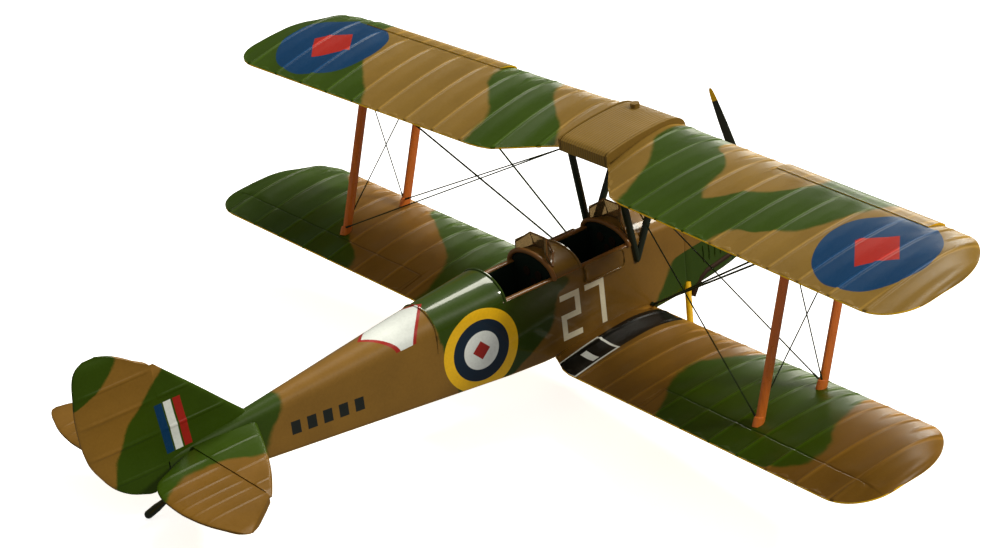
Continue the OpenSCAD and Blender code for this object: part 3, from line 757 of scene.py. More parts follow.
@dataclass(frozen=True)
class Coat:
    """What all the painted finishes share."""

    finish: Finish
    roughness: float = 0.42
    bump: float = 0.02
    amount: float = 1.0
    metallic: float = 0.0
    coat: float = 0.0
    specular: float = 0.17
    earth: Colour = EARTH
    coat_roughness: float = 0.08
    bump_strength: float = 0.6

    def begin(self) -> PaintTree:
        """A new material.

        Returns:
            Its tree.
        """
        material = bpy.data.materials.new(self.finish.value)
        material.use_nodes = True
        shader = material.node_tree.nodes["Principled BSDF"]
        shader.inputs["Metallic"].default_value = self.metallic
        shader.inputs["Coat Weight"].default_value = self.coat
        shader.inputs["Coat Roughness"].default_value = self.coat_roughness
        shader.inputs["Specular IOR Level"].default_value = self.specular
        PAINTS[self.finish] = material
        where = Tree(material.node_tree).group("aircraft place")
        return PaintTree(material.node_tree, shader, *where.outputs)

    def bumped(self, tree: Tree, height: Socket, depth: float, strength: float,
               below: "Socket | None" = None) -> Socket:
        """The normal of a height.

        Args:
            tree: the material's tree.
            height: how high the surface stands, from 0 to 1.
            depth: the height of 1, in mm.
            strength: the bump's strength.
            below: a normal that this one is laid over.

        Returns:
            The normal.
        """
        bump = tree.add("ShaderNodeBump")
        bump.inputs["Strength"].default_value = strength
        bump.inputs["Distance"].default_value = MM * depth
        tree.feed(bump.inputs["Height"], height)
        if below is not None:
            tree.feed(bump.inputs["Normal"], below)
        return bump.outputs[0]

    def end(self, tree: PaintTree, colour: Value, height: "Socket | None" = None, depth: float = 0.05) -> None:
        """Joins a colour and the paint's own unevenness to the shader.

        Args:
            tree: the material's tree.
            colour: the base colour before shading.
            height: an extra height, such as a corrugation.
            depth: how deep that height reads, in mm.
        """
        surface = tree.group("paint surface", Place=tree.place, Amount=self.amount)
        tree.feed(tree.shader.inputs["Base Color"], tree.scaled(colour, surface.outputs["Shade"]))
        tree.feed(tree.shader.inputs["Roughness"], tree.plus(surface.outputs["Roughness"], self.roughness))
        normal = self.bumped(tree, surface.outputs["Height"], self.bump, self.bump_strength)
        if height is not None:
            normal = self.bumped(tree, height, depth, 1.0, normal)
        tree.feed(tree.shader.inputs["Normal"], normal)


@dataclass(frozen=True)
class Walkway:
    """The black strip at a wing root, its white-edged panel and the plain white bar in it."""

    strip: tuple[Pair, Pair] = ((8.6, 9.4), (2.35, 9.0))
    border: tuple[Pair, Pair] = ((8.6, 14.7), (2.4, 3.8))
    panel: tuple[Pair, Pair] = ((8.6, 14.7), (2.05, 3.45))
    bar: tuple[Pair, Pair] = ((8.9, 14.3), (1.35, 0.5))
    black: Colour = srgb(12, 12, 10)

    def lay(self, t: Tree, colour: Socket, span: Socket, chord: Socket) -> Socket:
        """Lays the walkway over a colour.

        Args:
            t: the material's tree.
            colour: the paint so far.
            span: distance from the middle, in mm.
            chord: distance back from the nose, in mm.

        Returns:
            The colour with the walkway.
        """
        layers = ((self.strip, self.black), (self.border, WHITE), (self.panel, self.black), (self.bar, WHITE))
        for (centre, half), tint in layers:
            colour = t.mix(t.bar(span, chord, centre, half), colour, tint)
        return colour


@dataclass(frozen=True)
class WingPattern(Coat):
    """Two-tone camouflage of a wing, yellow beneath, with its marks."""

    plan: WingPlan = UPPER_PLAN
    edges: dict[str, Line] = field(default_factory=dict)
    mark: Pair | None = None
    mark_size: float = 7.5
    diamond_share: float = 0.48
    mark_from: float = 2.55
    walkway: Walkway | None = None
    first_rib: float = RIB_FIRST
    hinge: Pair | None = None
    slat: Triple | None = None
    # painted highlights on the tapes, the riblets and the nose
    tape_highlight: float = 0.42
    riblet_highlight: float = 0.6
    nose_highlight: float = 0.5
    slat_shade: float = 0.5
    hinge_shade: float = 0.22
    aileron_half: Pair = (20.0, 3.0)
    slat_gap: float = 0.13
    hinge_gap: float = 0.1
    top_limit: Pair = (0.12, 9.0)

    def build(self) -> None:
        """Makes the material."""
        t = self.begin()
        span = t.size(t.x)
        chord = t.sub(t.sub(t.y, self.plan.lead_y), t.mul(span, self.plan.sweep))
        colour = t.mix(self.green(t, chord), self.earth, GREEN)
        if self.mark:
            disc = t.round_mark("disc mark", span, chord, self.mark, self.mark_size)
            diamond = t.round_mark("diamond mark", span, chord, self.mark, self.mark_size * self.diamond_share)
            disc = t.both(disc, t.math("GREATER_THAN", chord, self.mark_from))
            colour = t.mix(diamond, t.mix(disc, colour, BLUE), RED)
        if self.walkway:
            colour = self.walkway.lay(t, colour, span, chord)
        # painted highlights on the tapes and nose, painted shade in the slat and hinge gaps
        colour = self.paint_highlights_and_gap_shade(t, colour, span, chord)
        self.end(t, t.mix(t.step(t.up, *self.top_limit), YELLOW, colour))

    def green(self, t: PaintTree, chord: Socket) -> Socket:
        """The mask of the green bands.

        Args:
            t: the material's tree.
            chord: distance back from the nose, in mm.

        Returns:
            The mask.
        """
        past = {name: t.past(t.x, chord, edge, t.place) for name, edge in self.edges.items()}
        greens = []
        for name in sorted(k for k in past if k.endswith("_on")):
            mask, off = past[name], name.replace("_on", "_off")
            greens.append(t.both(mask, t.without(past[off])) if off in past else mask)
        green = t.either(*greens)
        if "wedge_a" in past:
            green = t.both(green, t.without(t.both(past["wedge_a"], t.without(past["wedge_b"]))))
        return green

    def paint_highlights_and_gap_shade(self, t: Tree, colour: Socket, span: Socket, chord: Socket) -> Socket:
        """Paints highlights on the tapes, the riblets and the nose, and painted shade in the gaps at a slat or an
        aileron.

        Args:
            t: the material's tree.
            colour: the paint so far.
            span: distance from the middle, in mm.
            chord: distance back from the nose, in mm.

        Returns:
            The colour with its painted highlights and painted shade.
        """
        tapes = t.group("rib tapes", Span=span, Chord=chord, Sweep=self.plan.sweep, First=self.first_rib)
        shade: Value = 1.0
        # painted highlights: the tapes, riblets and nose made lighter
        for name, light in (("Tape", self.tape_highlight), ("Riblet", self.riblet_highlight), ("Nose", self.nose_highlight)):
            shade = t.plus(shade, t.mul(tapes.outputs[name], light))
        # painted shade in the gap behind the slat
        if self.slat:
            a, b, reach = self.slat
            gap = t.bar(span, chord, ((a + b) / 2, reach), ((b - a) / 2, self.slat_gap))
            shade = t.mul(shade, t.shown_by(gap, self.slat_shade))
        # painted shade along the aileron's hinge and end gaps
        if self.hinge:
            a, at = self.hinge
            half_span, half_chord = self.aileron_half
            line = t.bar(span, chord, (a + half_span, at), (half_span, self.hinge_gap))
            end = t.bar(span, chord, (a, at + half_chord), (self.hinge_gap, half_chord))
            shade = t.mul(shade, t.shown_by(t.either(line, end), self.hinge_shade))
        return t.scaled(colour, shade)


UPPER_EDGES: dict[str, Line] = {
    "a_on": [(0, -45), (3, -44), (6, -42.7), (9, -41.3), (12, -38.6), (14, -35), (15.5, -31.8), (18.3, -30.8)],
    "a_off": [(0, -6.1), (5, -6.1), (8, -8), (11, -10.5), (14, -12), (18.3, -13.6)],
    "wedge_a": [(0, -33.6), (3, -33.4), (5, -32.4), (7, -30.2), (9, -27.6), (11, -25.3), (12.5, -23.2), (18.3, -14)],
    "wedge_b": [(0, -14.5), (3, -15.7), (5, -19.2), (7, -20.8), (9, -21.4), (11, -22.1), (12.5, -23.2), (18.3, -34)],
    "b_on": [(0, 16.6), (2, 15.7), (5, 13.5), (8, 9.7), (11, 6.4), (14, 4.4), (18.3, 3.2)],
    "b_off": [(0, 26.4), (3, 25.5), (6, 24.2), (8, 22), (10, 19.7), (12, 17.6), (14, 16.7), (18.3, 15.5)],
    "c_on": [(0, 48.8), (3, 48.2), (6, 47), (8, 45.5), (10.5, 43.3), (13, 40.4), (15, 37.9), (16.5, 36.3),
             (18.3, 35)],
}
LOWER_EDGES: dict[str, Line] = {
    "a_on": [(0, -45.8), (3, -46.5), (8, -48.2), (11, -50.2), (14, -50.8), (16, -49.5), (18.3, -46)],
    "a_off": [(0, -27.6), (3, -26), (6, -24), (9, -22.7), (12, -23.2), (15, -25.1), (18.3, -27.2)],
    "b_on": [(0, 3.0), (18.3, 3.0)],
    "b_off": [(0, 36.9), (2, 35.7), (4, 32.2), (6, 29.1), (8, 25.7), (10, 23.4), (12, 22.0), (14, 21.0), (18.3, 20.5)],
    "c_on": [(0, 54), (2, 52.6), (4, 49.2), (6, 47.4), (8, 44.5), (10, 42), (12, 40), (14, 37.6), (16, 34.5),
             (18.3, 33)],
}
TAIL_EDGE: Line = [(78, 9), (82, 8.2), (84, 8.4), (86, 7.3), (88.5, 6), (90.5, 5.5), (93.5, 6.2), (97, 8.6)]
FIN_EDGES: dict[str, Line] = {
    "band": [(-4, 99.8), (-1, 98.5), (2.5, 97.3), (5.5, 95.5), (8, 93), (10.5, 90.3), (12, 89), (15.2, 86)],
    "top": [(-4, 110), (9, 106), (9.6, 102), (10.8, 98.8), (12.3, 96.8), (13.8, 95.9), (15.2, 95.4)],
}
BODY_EDGES: dict[str, Line] = {
    "mid_on": [(-9, 47), (-7.5, 44), (-6, 41), (-4, 38.5), (-0.5, 37.2), (1, 35.4), (1.7, 36), (2.2, 41), (5, 44)],
    "mid_off": [(-9, 52.6), (-7.5, 53), (-4, 54), (-0.5, 54.6), (3.5, 55.3), (5, 55.4)],
    "front_off": [(-9, 22), (-7.5, 21.5), (-5, 19.5), (-3.2, 18.3), (-2.7, 15), (-2.2, 9), (0, 6.5), (3, 4)],
    "tail_on": [(-9, 80), (-6, 79.5), (-2.5, 78.5), (0, 76.6), (2.5, 76.2), (5, 76)],
}


@dataclass(frozen=True)
class TailPattern(Coat):
    """Camouflage of the tailplane: green root, dark earth tips, yellow beneath."""

    top_limit: Pair = (-0.35, 9.0)

    def build(self) -> None:
        """Makes the material."""
        t = self.begin()
        span = t.size(t.x)
        tip = t.past(span, t.y, TAIL_EDGE, t.place)
        colour = t.mix(tip, GREEN, self.earth)
        self.end(t, t.mix(t.step(t.up, *self.top_limit), YELLOW, colour))


@dataclass(frozen=True)
class FinPattern(Coat):
    """Camouflage of the fin and rudder with three plain leaning stripes."""

    feather: float = 0.3
    stripes: tuple[tuple[float, Colour], ...] = ((88.85, RED), (90.1, WHITE), (91.3, BLUE))
    stripe_z: float = 3.3
    stripe_half: Pair = (0.5, 3.2)
    stripe_lean: float = 0.09

    def build(self) -> None:
        """Makes the material."""
        t = self.begin()
        band, top = (t.past(t.y, t.z, FIN_EDGES[name], t.place, self.feather) for name in ("band", "top"))
        colour = t.mix(t.both(band, t.without(top)), GREEN, self.earth)
        for centre, tint in self.stripes:
            stripe = t.bar(t.y, t.z, (centre, self.stripe_z), self.stripe_half, self.stripe_lean)
            colour = t.mix(stripe, colour, tint)
        self.end(t, colour)


@dataclass(frozen=True)
class BodyPattern(Coat):
    """Camouflage of the fuselage and cowl, yellow beneath, with ring marks, plain digits and bars."""

    crisp_feather: float = 0.25
    flank_normal: float = 0.7
    ring_centre: Pair = (49.2, -3.2)
    rings: tuple[tuple[float, Colour], ...] = ((5.4, YELLOW), (4.0, NAVY), (2.5, WHITE))
    dot_size: float = 1.25
    digit_centre: Pair = (33.4, -3.85)
    digit_high: float = 6.2
    digit_half_width: float = 1.55
    digit_apart: float = 2.0
    digit_tint: Colour = srgb(228, 220, 192)
    stroke: float = 0.78
    bar_count: int = 5
    bar_start: Pair = (66.6, -3.3)
    bar_step: float = 2.15
    bar_half: Pair = (0.62, 0.85)
    bar_row: Pair = (72.0, -0.05)
    bar_tint: Colour = srgb(34, 38, 34)
    deck_radius: float = 4.05
    patch_y: float = 59.2
    patch_sizes: Pair = (4.9, 4.35)
    patch_normal: float = 0.12
    belly_limit: Pair = (-0.6, -9.0)
    # painted shade of the upper wing on the cockpit sides: where it starts and ends, how fast it comes in, how dark
    wing_shade_from: float = 21.0
    wing_shade_to: float = 48.0
    wing_shade_slope: float = 0.16
    wing_shade_least: float = 0.22
    wing_shade_noise: Triple = (0.35, 3.0, 0.26)

    def build(self) -> None:
        """Makes the material."""
        t = self.begin()
        y, z, place_at = t.y, t.z, t.place
        mid_on = t.past(y, z, BODY_EDGES["mid_on"], place_at)
        mid_off = t.past(y, z, BODY_EDGES["mid_off"], place_at, self.crisp_feather)
        front_off = t.past(y, z, BODY_EDGES["front_off"], place_at)
        tail_on = t.past(y, z, BODY_EDGES["tail_on"], place_at)
        green = t.either(t.both(mid_on, t.without(mid_off)), t.without(front_off), tail_on)
        # painted shade of the upper wing beside the cockpits
        colour = self.paint_wing_shade(t, t.mix(green, self.earth, GREEN))
        flank = t.math("GREATER_THAN", t.size(t.side), self.flank_normal)
        for size, tint in self.rings:
            colour = t.mix(t.both(t.round_mark("disc mark", y, z, self.ring_centre, size), flank), colour, tint)
        dot = t.round_mark("diamond mark", y, z, self.ring_centre, self.dot_size)
        colour = t.mix(t.both(dot, flank), colour, RED)
        colour = t.mix(t.both(self.digits(t), flank), colour, self.digit_tint)
        colour = t.mix(t.both(self.bars(t), flank), colour, self.bar_tint)
        round_deck = t.math("ARCSINE", t.math("DIVIDE", t.x, self.deck_radius))
        round_deck = t.mul(round_deck, self.deck_radius)
        upper = t.math("GREATER_THAN", t.up, self.patch_normal)
        for size, tint in zip(self.patch_sizes, (RED, WHITE)):
            patch = t.round_mark("diamond mark", round_deck, y, (0.0, self.patch_y), size)
            colour = t.mix(t.both(patch, upper), colour, tint)
        self.end(t, t.mix(t.step(t.up, *self.belly_limit), colour, YELLOW))

    def paint_wing_shade(self, t: PaintTree, colour: Socket) -> Socket:
        """Darkens the paint beside the cockpits: painted shade, where the upper wing shadows the sides.

        Args:
            t: the material's tree.
            colour: the paint so far.

        Returns:
            The darkened colour.
        """
        scale, detail, share = self.wing_shade_noise
        fore = t.mul(t.sub(t.y, self.wing_shade_from), self.wing_shade_slope, clamp=True)
        aft = t.mul(t.sub(self.wing_shade_to, t.y), self.wing_shade_slope, clamp=True)
        patchy = t.plus(self.wing_shade_least, t.mul(t.noise(t.place, scale, detail), share))
        return t.scaled(colour, t.sub(1.0, t.mul(t.both(fore, aft), patchy)))

    def bars(self, t: PaintTree) -> Socket:
        """The mask of the row of plain bars near the tail.

        Args:
            t: the material's tree.

        Returns:
            The mask.
        """
        pivot, rise = self.bar_row
        level = t.plus(t.z, t.mul(t.sub(t.y, pivot), rise))
        first, height = self.bar_start
        places = [(first + self.bar_step * k, height) for k in range(self.bar_count)]
        return t.either(*[t.bar(t.y, level, centre, self.bar_half) for centre in places])

    def digits(self, t: PaintTree) -> Socket:
        """The mask of a plain 2 and 7, readable from each side.

        Args:
            t: the material's tree.

        Returns:
            The mask.
        """
        u = t.mul(t.sub(t.y, self.digit_centre[0]), t.math("SIGN", t.x))
        v = t.sub(t.z, self.digit_centre[1])
        h, s, w = self.digit_high / 2, self.stroke / 2, self.digit_half_width
        two, seven = -self.digit_apart, self.digit_apart
        strokes = [((two, h - s), (w, s)), ((two + w - s, h / 2), (s, h / 2)), ((two, 0), (w, s)),
                   ((two - w + s, -h / 2), (s, h / 2)), ((two, -h + s), (w, s)),
                   ((seven, h - s), (w, s)), ((seven + w - s, 0), (s, h))]
        return t.either(*[t.bar(u, v, centre, half) for centre, half in strokes])


@dataclass(frozen=True)
class PlainCoat(Coat):
    """A finish of one colour with the paint's unevenness."""

    colour: Colour = (0.5, 0.5, 0.5)

    def build(self) -> None:
        """Makes the material."""
        t = self.begin()
        self.end(t, self.colour)


@dataclass(frozen=True)
class TankPaint(PlainCoat):
    """Dark earth over fine fore-and-aft corrugation, with a groove inside each end; painted shade and highlight follow
    the corrugation and darken the grooves.
    """

    pitch: float = 0.44
    half_ribbed: float = 4.1
    groove: Pair = (4.14, 4.32)
    wave_shade: float = 0.16
    groove_shade: float = 0.55
    wave_depth: float = 0.02

    def build(self) -> None:
        """Makes the material."""
        t = self.begin()
        across = t.size(t.x)
        wave = t.math("SINE", t.mul(t.x, 2 * math.pi / self.pitch))
        wave = t.mul(wave, t.math("LESS_THAN", across, self.half_ribbed))
        groove = t.both(t.math("GREATER_THAN", across, self.groove[0]), t.math("LESS_THAN", across, self.groove[1]))
        # painted shade and highlight: lighter on the corrugation's ridges, darker in its hollows and in the end
        # grooves
        shade = t.plus(1.0, t.mul(wave, self.wave_shade))
        colour = t.scaled(self.colour, t.mul(shade, t.shown_by(groove, self.groove_shade)))
        self.end(t, colour, wave, self.wave_depth)


@dataclass(frozen=True)
class WoodTone(PlainCoat):
    """Glossy orange-brown with a long grain."""

    squeeze: Point = (3.0, 3.0, 0.22)
    grain_detail: float = 3.0
    dark_share: float = 0.5
    grain_share: float = 0.75
    grain_depth: float = 0.03

    def build(self) -> None:
        """Makes the material."""
        t = self.begin()
        squeezed = [t.mul(part, by) for part, by in zip((t.x, t.y, t.z), self.squeeze)]
        grain = t.noise(t.join(*squeezed), 1.0, self.grain_detail)
        dark = tuple(self.dark_share * v for v in self.colour)
        colour = t.mix(t.mul(grain, self.grain_share), self.colour, dark)
        self.end(t, colour, grain, self.grain_depth)


@dataclass(frozen=True)
class PropellerPaint(PlainCoat):
    """Satin black blades with yellow tips, by distance from the hub."""

    tip_limit: Pair = (11.6, 12.0)

    def build(self) -> None:
        """Makes the material."""
        t = self.begin()
        reach = t.away(t.x, t.z)
        self.end(t, t.mix(t.step(reach, *self.tip_limit), self.colour, YELLOW))


@dataclass(frozen=True)
class WheelPaint(PlainCoat):
    """Disc paint that darkens at the rim and round the hub, by distance from the axle line: grime, and painted shade
    in these corners.
    """

    axle: Pair = (20.6, -16.6)
    rim: Pair = (1.75, 2.2)
    hub: Pair = (1.15, 3.0)
    patch_noise: Triple = (1.6, 3.0, 0.6)
    least: float = 0.25
    grime_and_shade: Colour = srgb(74, 52, 24)

    def build(self) -> None:
        """Makes the material."""
        t = self.begin()
        reach = t.away(t.sub(t.y, self.axle[0]), t.sub(t.z, self.axle[1]))
        scale, detail, share = self.patch_noise
        patchy = t.noise(t.place, scale, detail)
        # grime and painted shade at the rim and round the hub
        rim = t.mul(t.sub(reach, self.rim[0]), self.rim[1], clamp=True)
        hub = t.mul(t.sub(self.hub[0], reach), self.hub[1], clamp=True)
        dirt_and_shade = t.plus(self.least, t.mul(patchy, share))
        self.end(t, t.mix(t.mul(t.either(rim, hub), dirt_and_shade), self.colour, self.grime_and_shade))


@dataclass(frozen=True)
class ClearScreen(Coat):
    """Thin tinted clear moulding."""

    tint: Colour = srgb(132, 108, 70)
    transmission: float = 0.6
    ior: float = 1.2

    def build(self) -> None:
        """Makes the material."""
        t = self.begin()
        t.shader.inputs["Base Color"].default_value = (*self.tint, 1.0)
        t.shader.inputs["Transmission Weight"].default_value = self.transmission
        t.shader.inputs["IOR"].default_value = self.ior
        surface = t.group("paint surface", Place=t.place, Amount=self.amount)
        t.feed(t.shader.inputs["Roughness"], t.plus(surface.outputs["Roughness"], self.roughness))
        normal = self.bumped(t, surface.outputs["Height"], self.bump, self.bump_strength)
        t.feed(t.shader.inputs["Normal"], normal)


FINISHES: tuple[Coat, ...] = (
    WingPattern(Finish.UPPER, 0.36, edges=UPPER_EDGES, mark=(50.8, 9.5), slat=(*SLAT_SPAN, 2.62)),
    WingPattern(Finish.LOWER, 0.36, plan=LOWER_PLAN, edges=LOWER_EDGES, walkway=Walkway(), earth=DEEP_EARTH,
                first_rib=LOWER_RIB_FIRST, hinge=AILERON),
    BodyPattern(Finish.BODY, 0.4, coat=0.7, earth=WARM_EARTH),
    TailPattern(Finish.TAIL, 0.38, earth=DEEP_EARTH),
    FinPattern(Finish.FIN, 0.38, earth=WARM_EARTH),
    TankPaint(Finish.TANK, 0.45, colour=srgb(134, 104, 44)),
    WoodTone(Finish.WOOD, 0.3, amount=0.7, coat=0.4, specular=0.5, colour=srgb(236, 124, 44)),
    PlainCoat(Finish.DARK, 0.34, coat=0.3, specular=0.5, colour=srgb(28, 38, 22)),
    PlainCoat(Finish.WIRE, 0.5, colour=srgb(40, 54, 34)),
    PlainCoat(Finish.LEATHER, 0.34, coat=0.3, colour=srgb(122, 80, 36)),
    PlainCoat(Finish.SEAT, 0.6, colour=srgb(84, 54, 28)),
    PlainCoat(Finish.COCKPIT, 0.6, colour=srgb(22, 36, 26)),
    PlainCoat(Finish.PANEL, 0.5, colour=srgb(44, 30, 18)),
    PlainCoat(Finish.BLACK, 0.5, colour=srgb(24, 24, 22)),
    ClearScreen(Finish.GLASS, 0.12, bump=0.01, amount=0.5, bump_strength=0.2),
    PlainCoat(Finish.YELLOW, 0.4, colour=YELLOW),
    WheelPaint(Finish.WHEEL, 0.42, colour=YELLOW),
    PlainCoat(Finish.TYRE, 0.75, colour=srgb(30, 30, 29)),
    PlainCoat(Finish.METAL, 0.35, metallic=0.8, colour=srgb(140, 140, 134)),
    PlainCoat(Finish.BRASS, 0.35, metallic=1.0, colour=srgb(196, 160, 90)),
    PropellerPaint(Finish.PROPELLER, 0.38, colour=srgb(58, 60, 50)),
    PlainCoat(Finish.EXHAUST, 0.6, metallic=0.3, colour=srgb(62, 44, 32)),
)


def build_finishes() -> None:
    """Makes every material once."""
    SharedGroups.build()
    for coat in FINISHES:
        coat.build()


# Sub-assemblies

TOP_LINE: Line = [(0.0, 0.0), (0.03, 0.024), (0.09, 0.046), (0.18, 0.065), (0.32, 0.077), (0.5, 0.069),
                  (0.7, 0.047), (0.86, 0.023), (1.0, 0.0)]
LOW_LINE: Line = [(0.0, 0.0), (0.02, -0.014), (0.08, -0.021), (0.25, -0.018), (0.6, -0.009), (1.0, 0.0)]


def root_line(points: Line, p: float) -> float:
    """A section line read through the root of its place, so that the nose is round."""
    return smooth_interp([(math.sqrt(a), b) for a, b in points], math.sqrt(max(0.0, p)))


def on_section(line: Line, ch: float) -> float:
    """Height in mm of a wing's section line at chord place ch."""
    return interp(line, ch / WING_CHORD) * WING_CHORD


@dataclass
class Wing:
    """One wing panel with rib tapes, sagging cloth between them and a thin back edge."""

    node: str
    side: int
    plan: WingPlan
    root_te: Line
    finish: Finish
    slot: str
    chord: float = WING_CHORD
    half_span: float = 62.17
    tip_round: float = 7.0
    back_round: float = 5.0
    back_cut: float = 5.5
    rib_first: float = RIB_FIRST
    rib_pitch: float = RIB_PITCH
    tape: float = 0.11
    tape_edge: Pair = (0.16, 0.34)
    sag: float = 0.2
    riblet: float = 0.05
    riblet_edge: Pair = (0.12, 0.5)
    riblet_back: Pair = (2.2, 3.4)
    under_share: float = 0.8
    slat: Pair | None = None
    slat_fade: Pair = (3.0, 4.6)
    aileron: Pair | None = None
    hinge_depth: float = 0.07
    hinge_edge: Pair = (0.05, 0.16)
    hinge_calm: Pair = (0.2, 1.2)
    end_depth: float = 0.14
    end_edge: Pair = (0.06, 0.16)
    near_tape: tuple[float, ...] = (-0.34, -0.25, -0.16, 0, 0.16, 0.25, 0.34, 0.6, 1.0, 1.5, 2.0)

    @property
    def root(self) -> float:
        """Where the panel begins, in mm from the middle."""
        return self.root_te[0][0]

    @staticmethod
    def bend(u: float) -> float:
        """Quarter-round ease from 0 to 1."""
        u = min(1.0, max(0.0, u))
        return 1 - math.sqrt(max(0.0, 1 - u * u))

    def front(self, x: float) -> float:
        """Chord place of the nose."""
        return MID_CHORD * self.bend((x - self.half_span + self.tip_round) / self.tip_round)

    def back(self, x: float) -> float:
        """Chord place of the back edge.

        Args:
            x: the station, in mm from the middle.

        Returns:
            The place in mm.
        """
        if x < self.root_te[-1][0]:
            return interp(self.root_te, x)
        return self.chord - self.back_cut * self.bend((x - self.half_span + self.back_round) / self.back_round)

    def relief(self, s: float, ch: float, top: bool) -> float:
        """Height of tapes and sagging cloth.

        Args:
            s: the station, in mm.
            ch: the chord place, in mm.
            top: whether this is the upper skin.

        Returns:
            The height in mm.
        """
        share = ((s - self.rib_first) / self.rib_pitch) % 1.0
        away = min(share, 1 - share) * self.rib_pitch
        h = self.tape * (1 - ramp(*self.tape_edge, away)) - self.sag * math.sin(math.pi * share) ** 2
        if self.slat is None or not self.slat[0] - 1 < s < self.slat[1] + 1:
            half = abs(away - self.rib_pitch / 2)
            h += (self.tape + self.riblet) * (1 - ramp(*self.riblet_edge, half)) * (1 - ramp(*self.riblet_back, ch))
        if self.slat and self.slat[0] - 0.6 < s < self.slat[1] + 0.6:
            h *= ramp(*self.slat_fade, ch)
        h *= ramp(0.0, 0.5, ch) * 0.75 + 0.25
        h *= 1 - ramp(self.half_span - 2.2, self.half_span - 0.4, s)
        if self.aileron and s > self.aileron[0]:
            off = abs(ch - self.aileron[1])
            h = h * (0.3 + 0.7 * ramp(*self.hinge_calm, off)) - self.hinge_depth * (1 - ramp(*self.hinge_edge, off))
        if self.aileron and self.aileron[1] < ch:
            h -= self.end_depth * (1 - ramp(*self.end_edge, abs(s - self.aileron[0])))
        return h if top else h * self.under_share

    def point(self, s: float, p: float, top: bool) -> Point:
        """A skin point of the level aircraft frame.

        Args:
            s: the station, in mm.
            p: the share of the local chord.
            top: whether it is on the upper skin.

        Returns:
            The point in mm.
        """
        a, b = self.front(s), self.back(s)
        ch = a + p * (b - a)
        near_tip = (s - self.half_span + self.tip_round) / self.tip_round
        thin = max(0.1, math.sqrt(max(0.0, 1 - max(0.0, near_tip) ** 3)))
        line = root_line(TOP_LINE if top else LOW_LINE, p) * self.chord * thin
        up = 1 if top else -1
        edge = 0.1 * ramp(0.3, 0.95, p) * up
        dz = line + edge + self.relief(s, ch, top) * up * ramp(0.0, 0.02, p) * (1 - ramp(0.992, 1.0, p))
        lean = ramp(self.root, self.root + 6, s) * (1 - ramp(self.half_span - 9, self.half_span - 2, s))
        x, y, z = self.plan.at(s + self.plan.sweep * (MID_CHORD - ch) * lean, ch, dz)
        return self.side * x, y, z

    def stations(self) -> list[float]:
        """Places along the span: close at each tape and the tip.

        Returns:
            The places in mm, in rising order.
        """
        marks = {self.root, *[a for a, _ in self.root_te if a > self.root]}
        half = self.rib_pitch / 2
        k = 0
        while self.rib_first + k * half < self.half_span - 0.6:
            centre = self.rib_first + k * half
            marks.update(centre + d for d in self.near_tape)
            k += 1
        if self.aileron:
            marks.update(self.aileron[0] + d for d in (-0.16, -0.08, 0, 0.08, 0.16))
        marks.update(self.half_span - self.tip_round * (1 - math.sin(math.pi / 2 * j / 16)) for j in range(1, 16))
        marks.update(self.half_span - d for d in (0.12, 0.03, 0.0))
        return spaced(marks, self.root, self.half_span, 0.02)

    def build(self) -> None:
        """Makes the panel."""
        shares = [0.0, 0.003, 0.01, 0.022, 0.04, 0.065, 0.095, 0.13, 0.17, 0.22, 0.28, 0.34, 0.41, 0.48, 0.55, 0.62,
                  0.69]
        if self.aileron:
            c = self.aileron[1] / self.chord
            shares += [c - 0.012, c - 0.007, c - 0.003, c, c + 0.003, c + 0.007, c + 0.012]
        else:
            shares += [0.76]
        shares += [0.83, 0.89, 0.94, 0.975, 0.992, 1.0]
        rings = [[self.point(s, p, True) for p in reversed(shares)] + [self.point(s, p, False) for p in shares[1:]]
                 for s in self.stations()]
        place(skin(f"{self.node}_skin", rings, 50), self.finish, self.slot, replaces=[self.node])


@dataclass
class Slat:
    """Leading-edge slat: a smooth shell on the nose of an upper wing panel."""

    wing: Wing
    reach: float = 2.5
    low_reach: float = 0.07
    proud: float = 0.26
    inside: float = 0.01
    nose: float = 0.02
    steps: int = 24

    def point(self, s: float, p: float, top: bool, out: float) -> Point:
        """A slat point beyond the wing's section.

        Args:
            s: the station, in mm.
            p: the share of the chord.
            top: whether it is above the section.
            out: how far beyond the section, in mm.

        Returns:
            The point in mm.
        """
        wing = self.wing
        line = root_line(TOP_LINE if top else LOW_LINE, p) * wing.chord
        lift = out * (1 if top else -1)
        if p < self.nose:
            lift *= min(1.0, math.sqrt(p / self.nose))
        fore = out * (1 - min(1.0, p / self.nose))
        x, y, z = wing.plan.at(s, p * wing.chord - fore, line)
        return wing.side * x, y, z + lift

    def thick(self, p: float) -> float:
        """How far the upper face stands off at share p: less towards the slat's back."""
        end = self.reach / self.wing.chord
        return self.proud * (0.35 + 0.65 * (1 - ramp(0.3 * end, end, p)))

    def build(self) -> None:
        """Makes the slat."""
        end = self.reach / self.wing.chord
        shares = [end * (1 - k / 12) ** 1.6 for k in range(13)]
        low = [self.low_reach * (k / 6) ** 1.5 for k in range(1, 7)]
        inner, outer = self.wing.slat
        rings = []
        for s in [inner + (outer - inner) * k / self.steps for k in range(self.steps + 1)]:
            ring = [self.point(s, p, True, self.thick(p)) for p in shares]
            ring += [self.point(s, p, False, self.proud) for p in low]
            ring += [self.point(s, p, False, self.inside) for p in reversed(low)]
            ring += [self.point(s, p, True, self.inside) for p in reversed(shares)]
            rings.append(ring)
        name = "slat_left" if self.wing.side > 0 else "slat_right"
        place(skin(name + "_shell", rings, 45), Finish.UPPER, "upper_wing_paint", replaces=[name])


@dataclass(frozen=True)
class Outline:
    """The front and back edges of a tail surface, as (outwards, aft) pairs, its thickness and its ribs."""

    front: Line
    back: Line
    thick: float
    ribs: list[float]


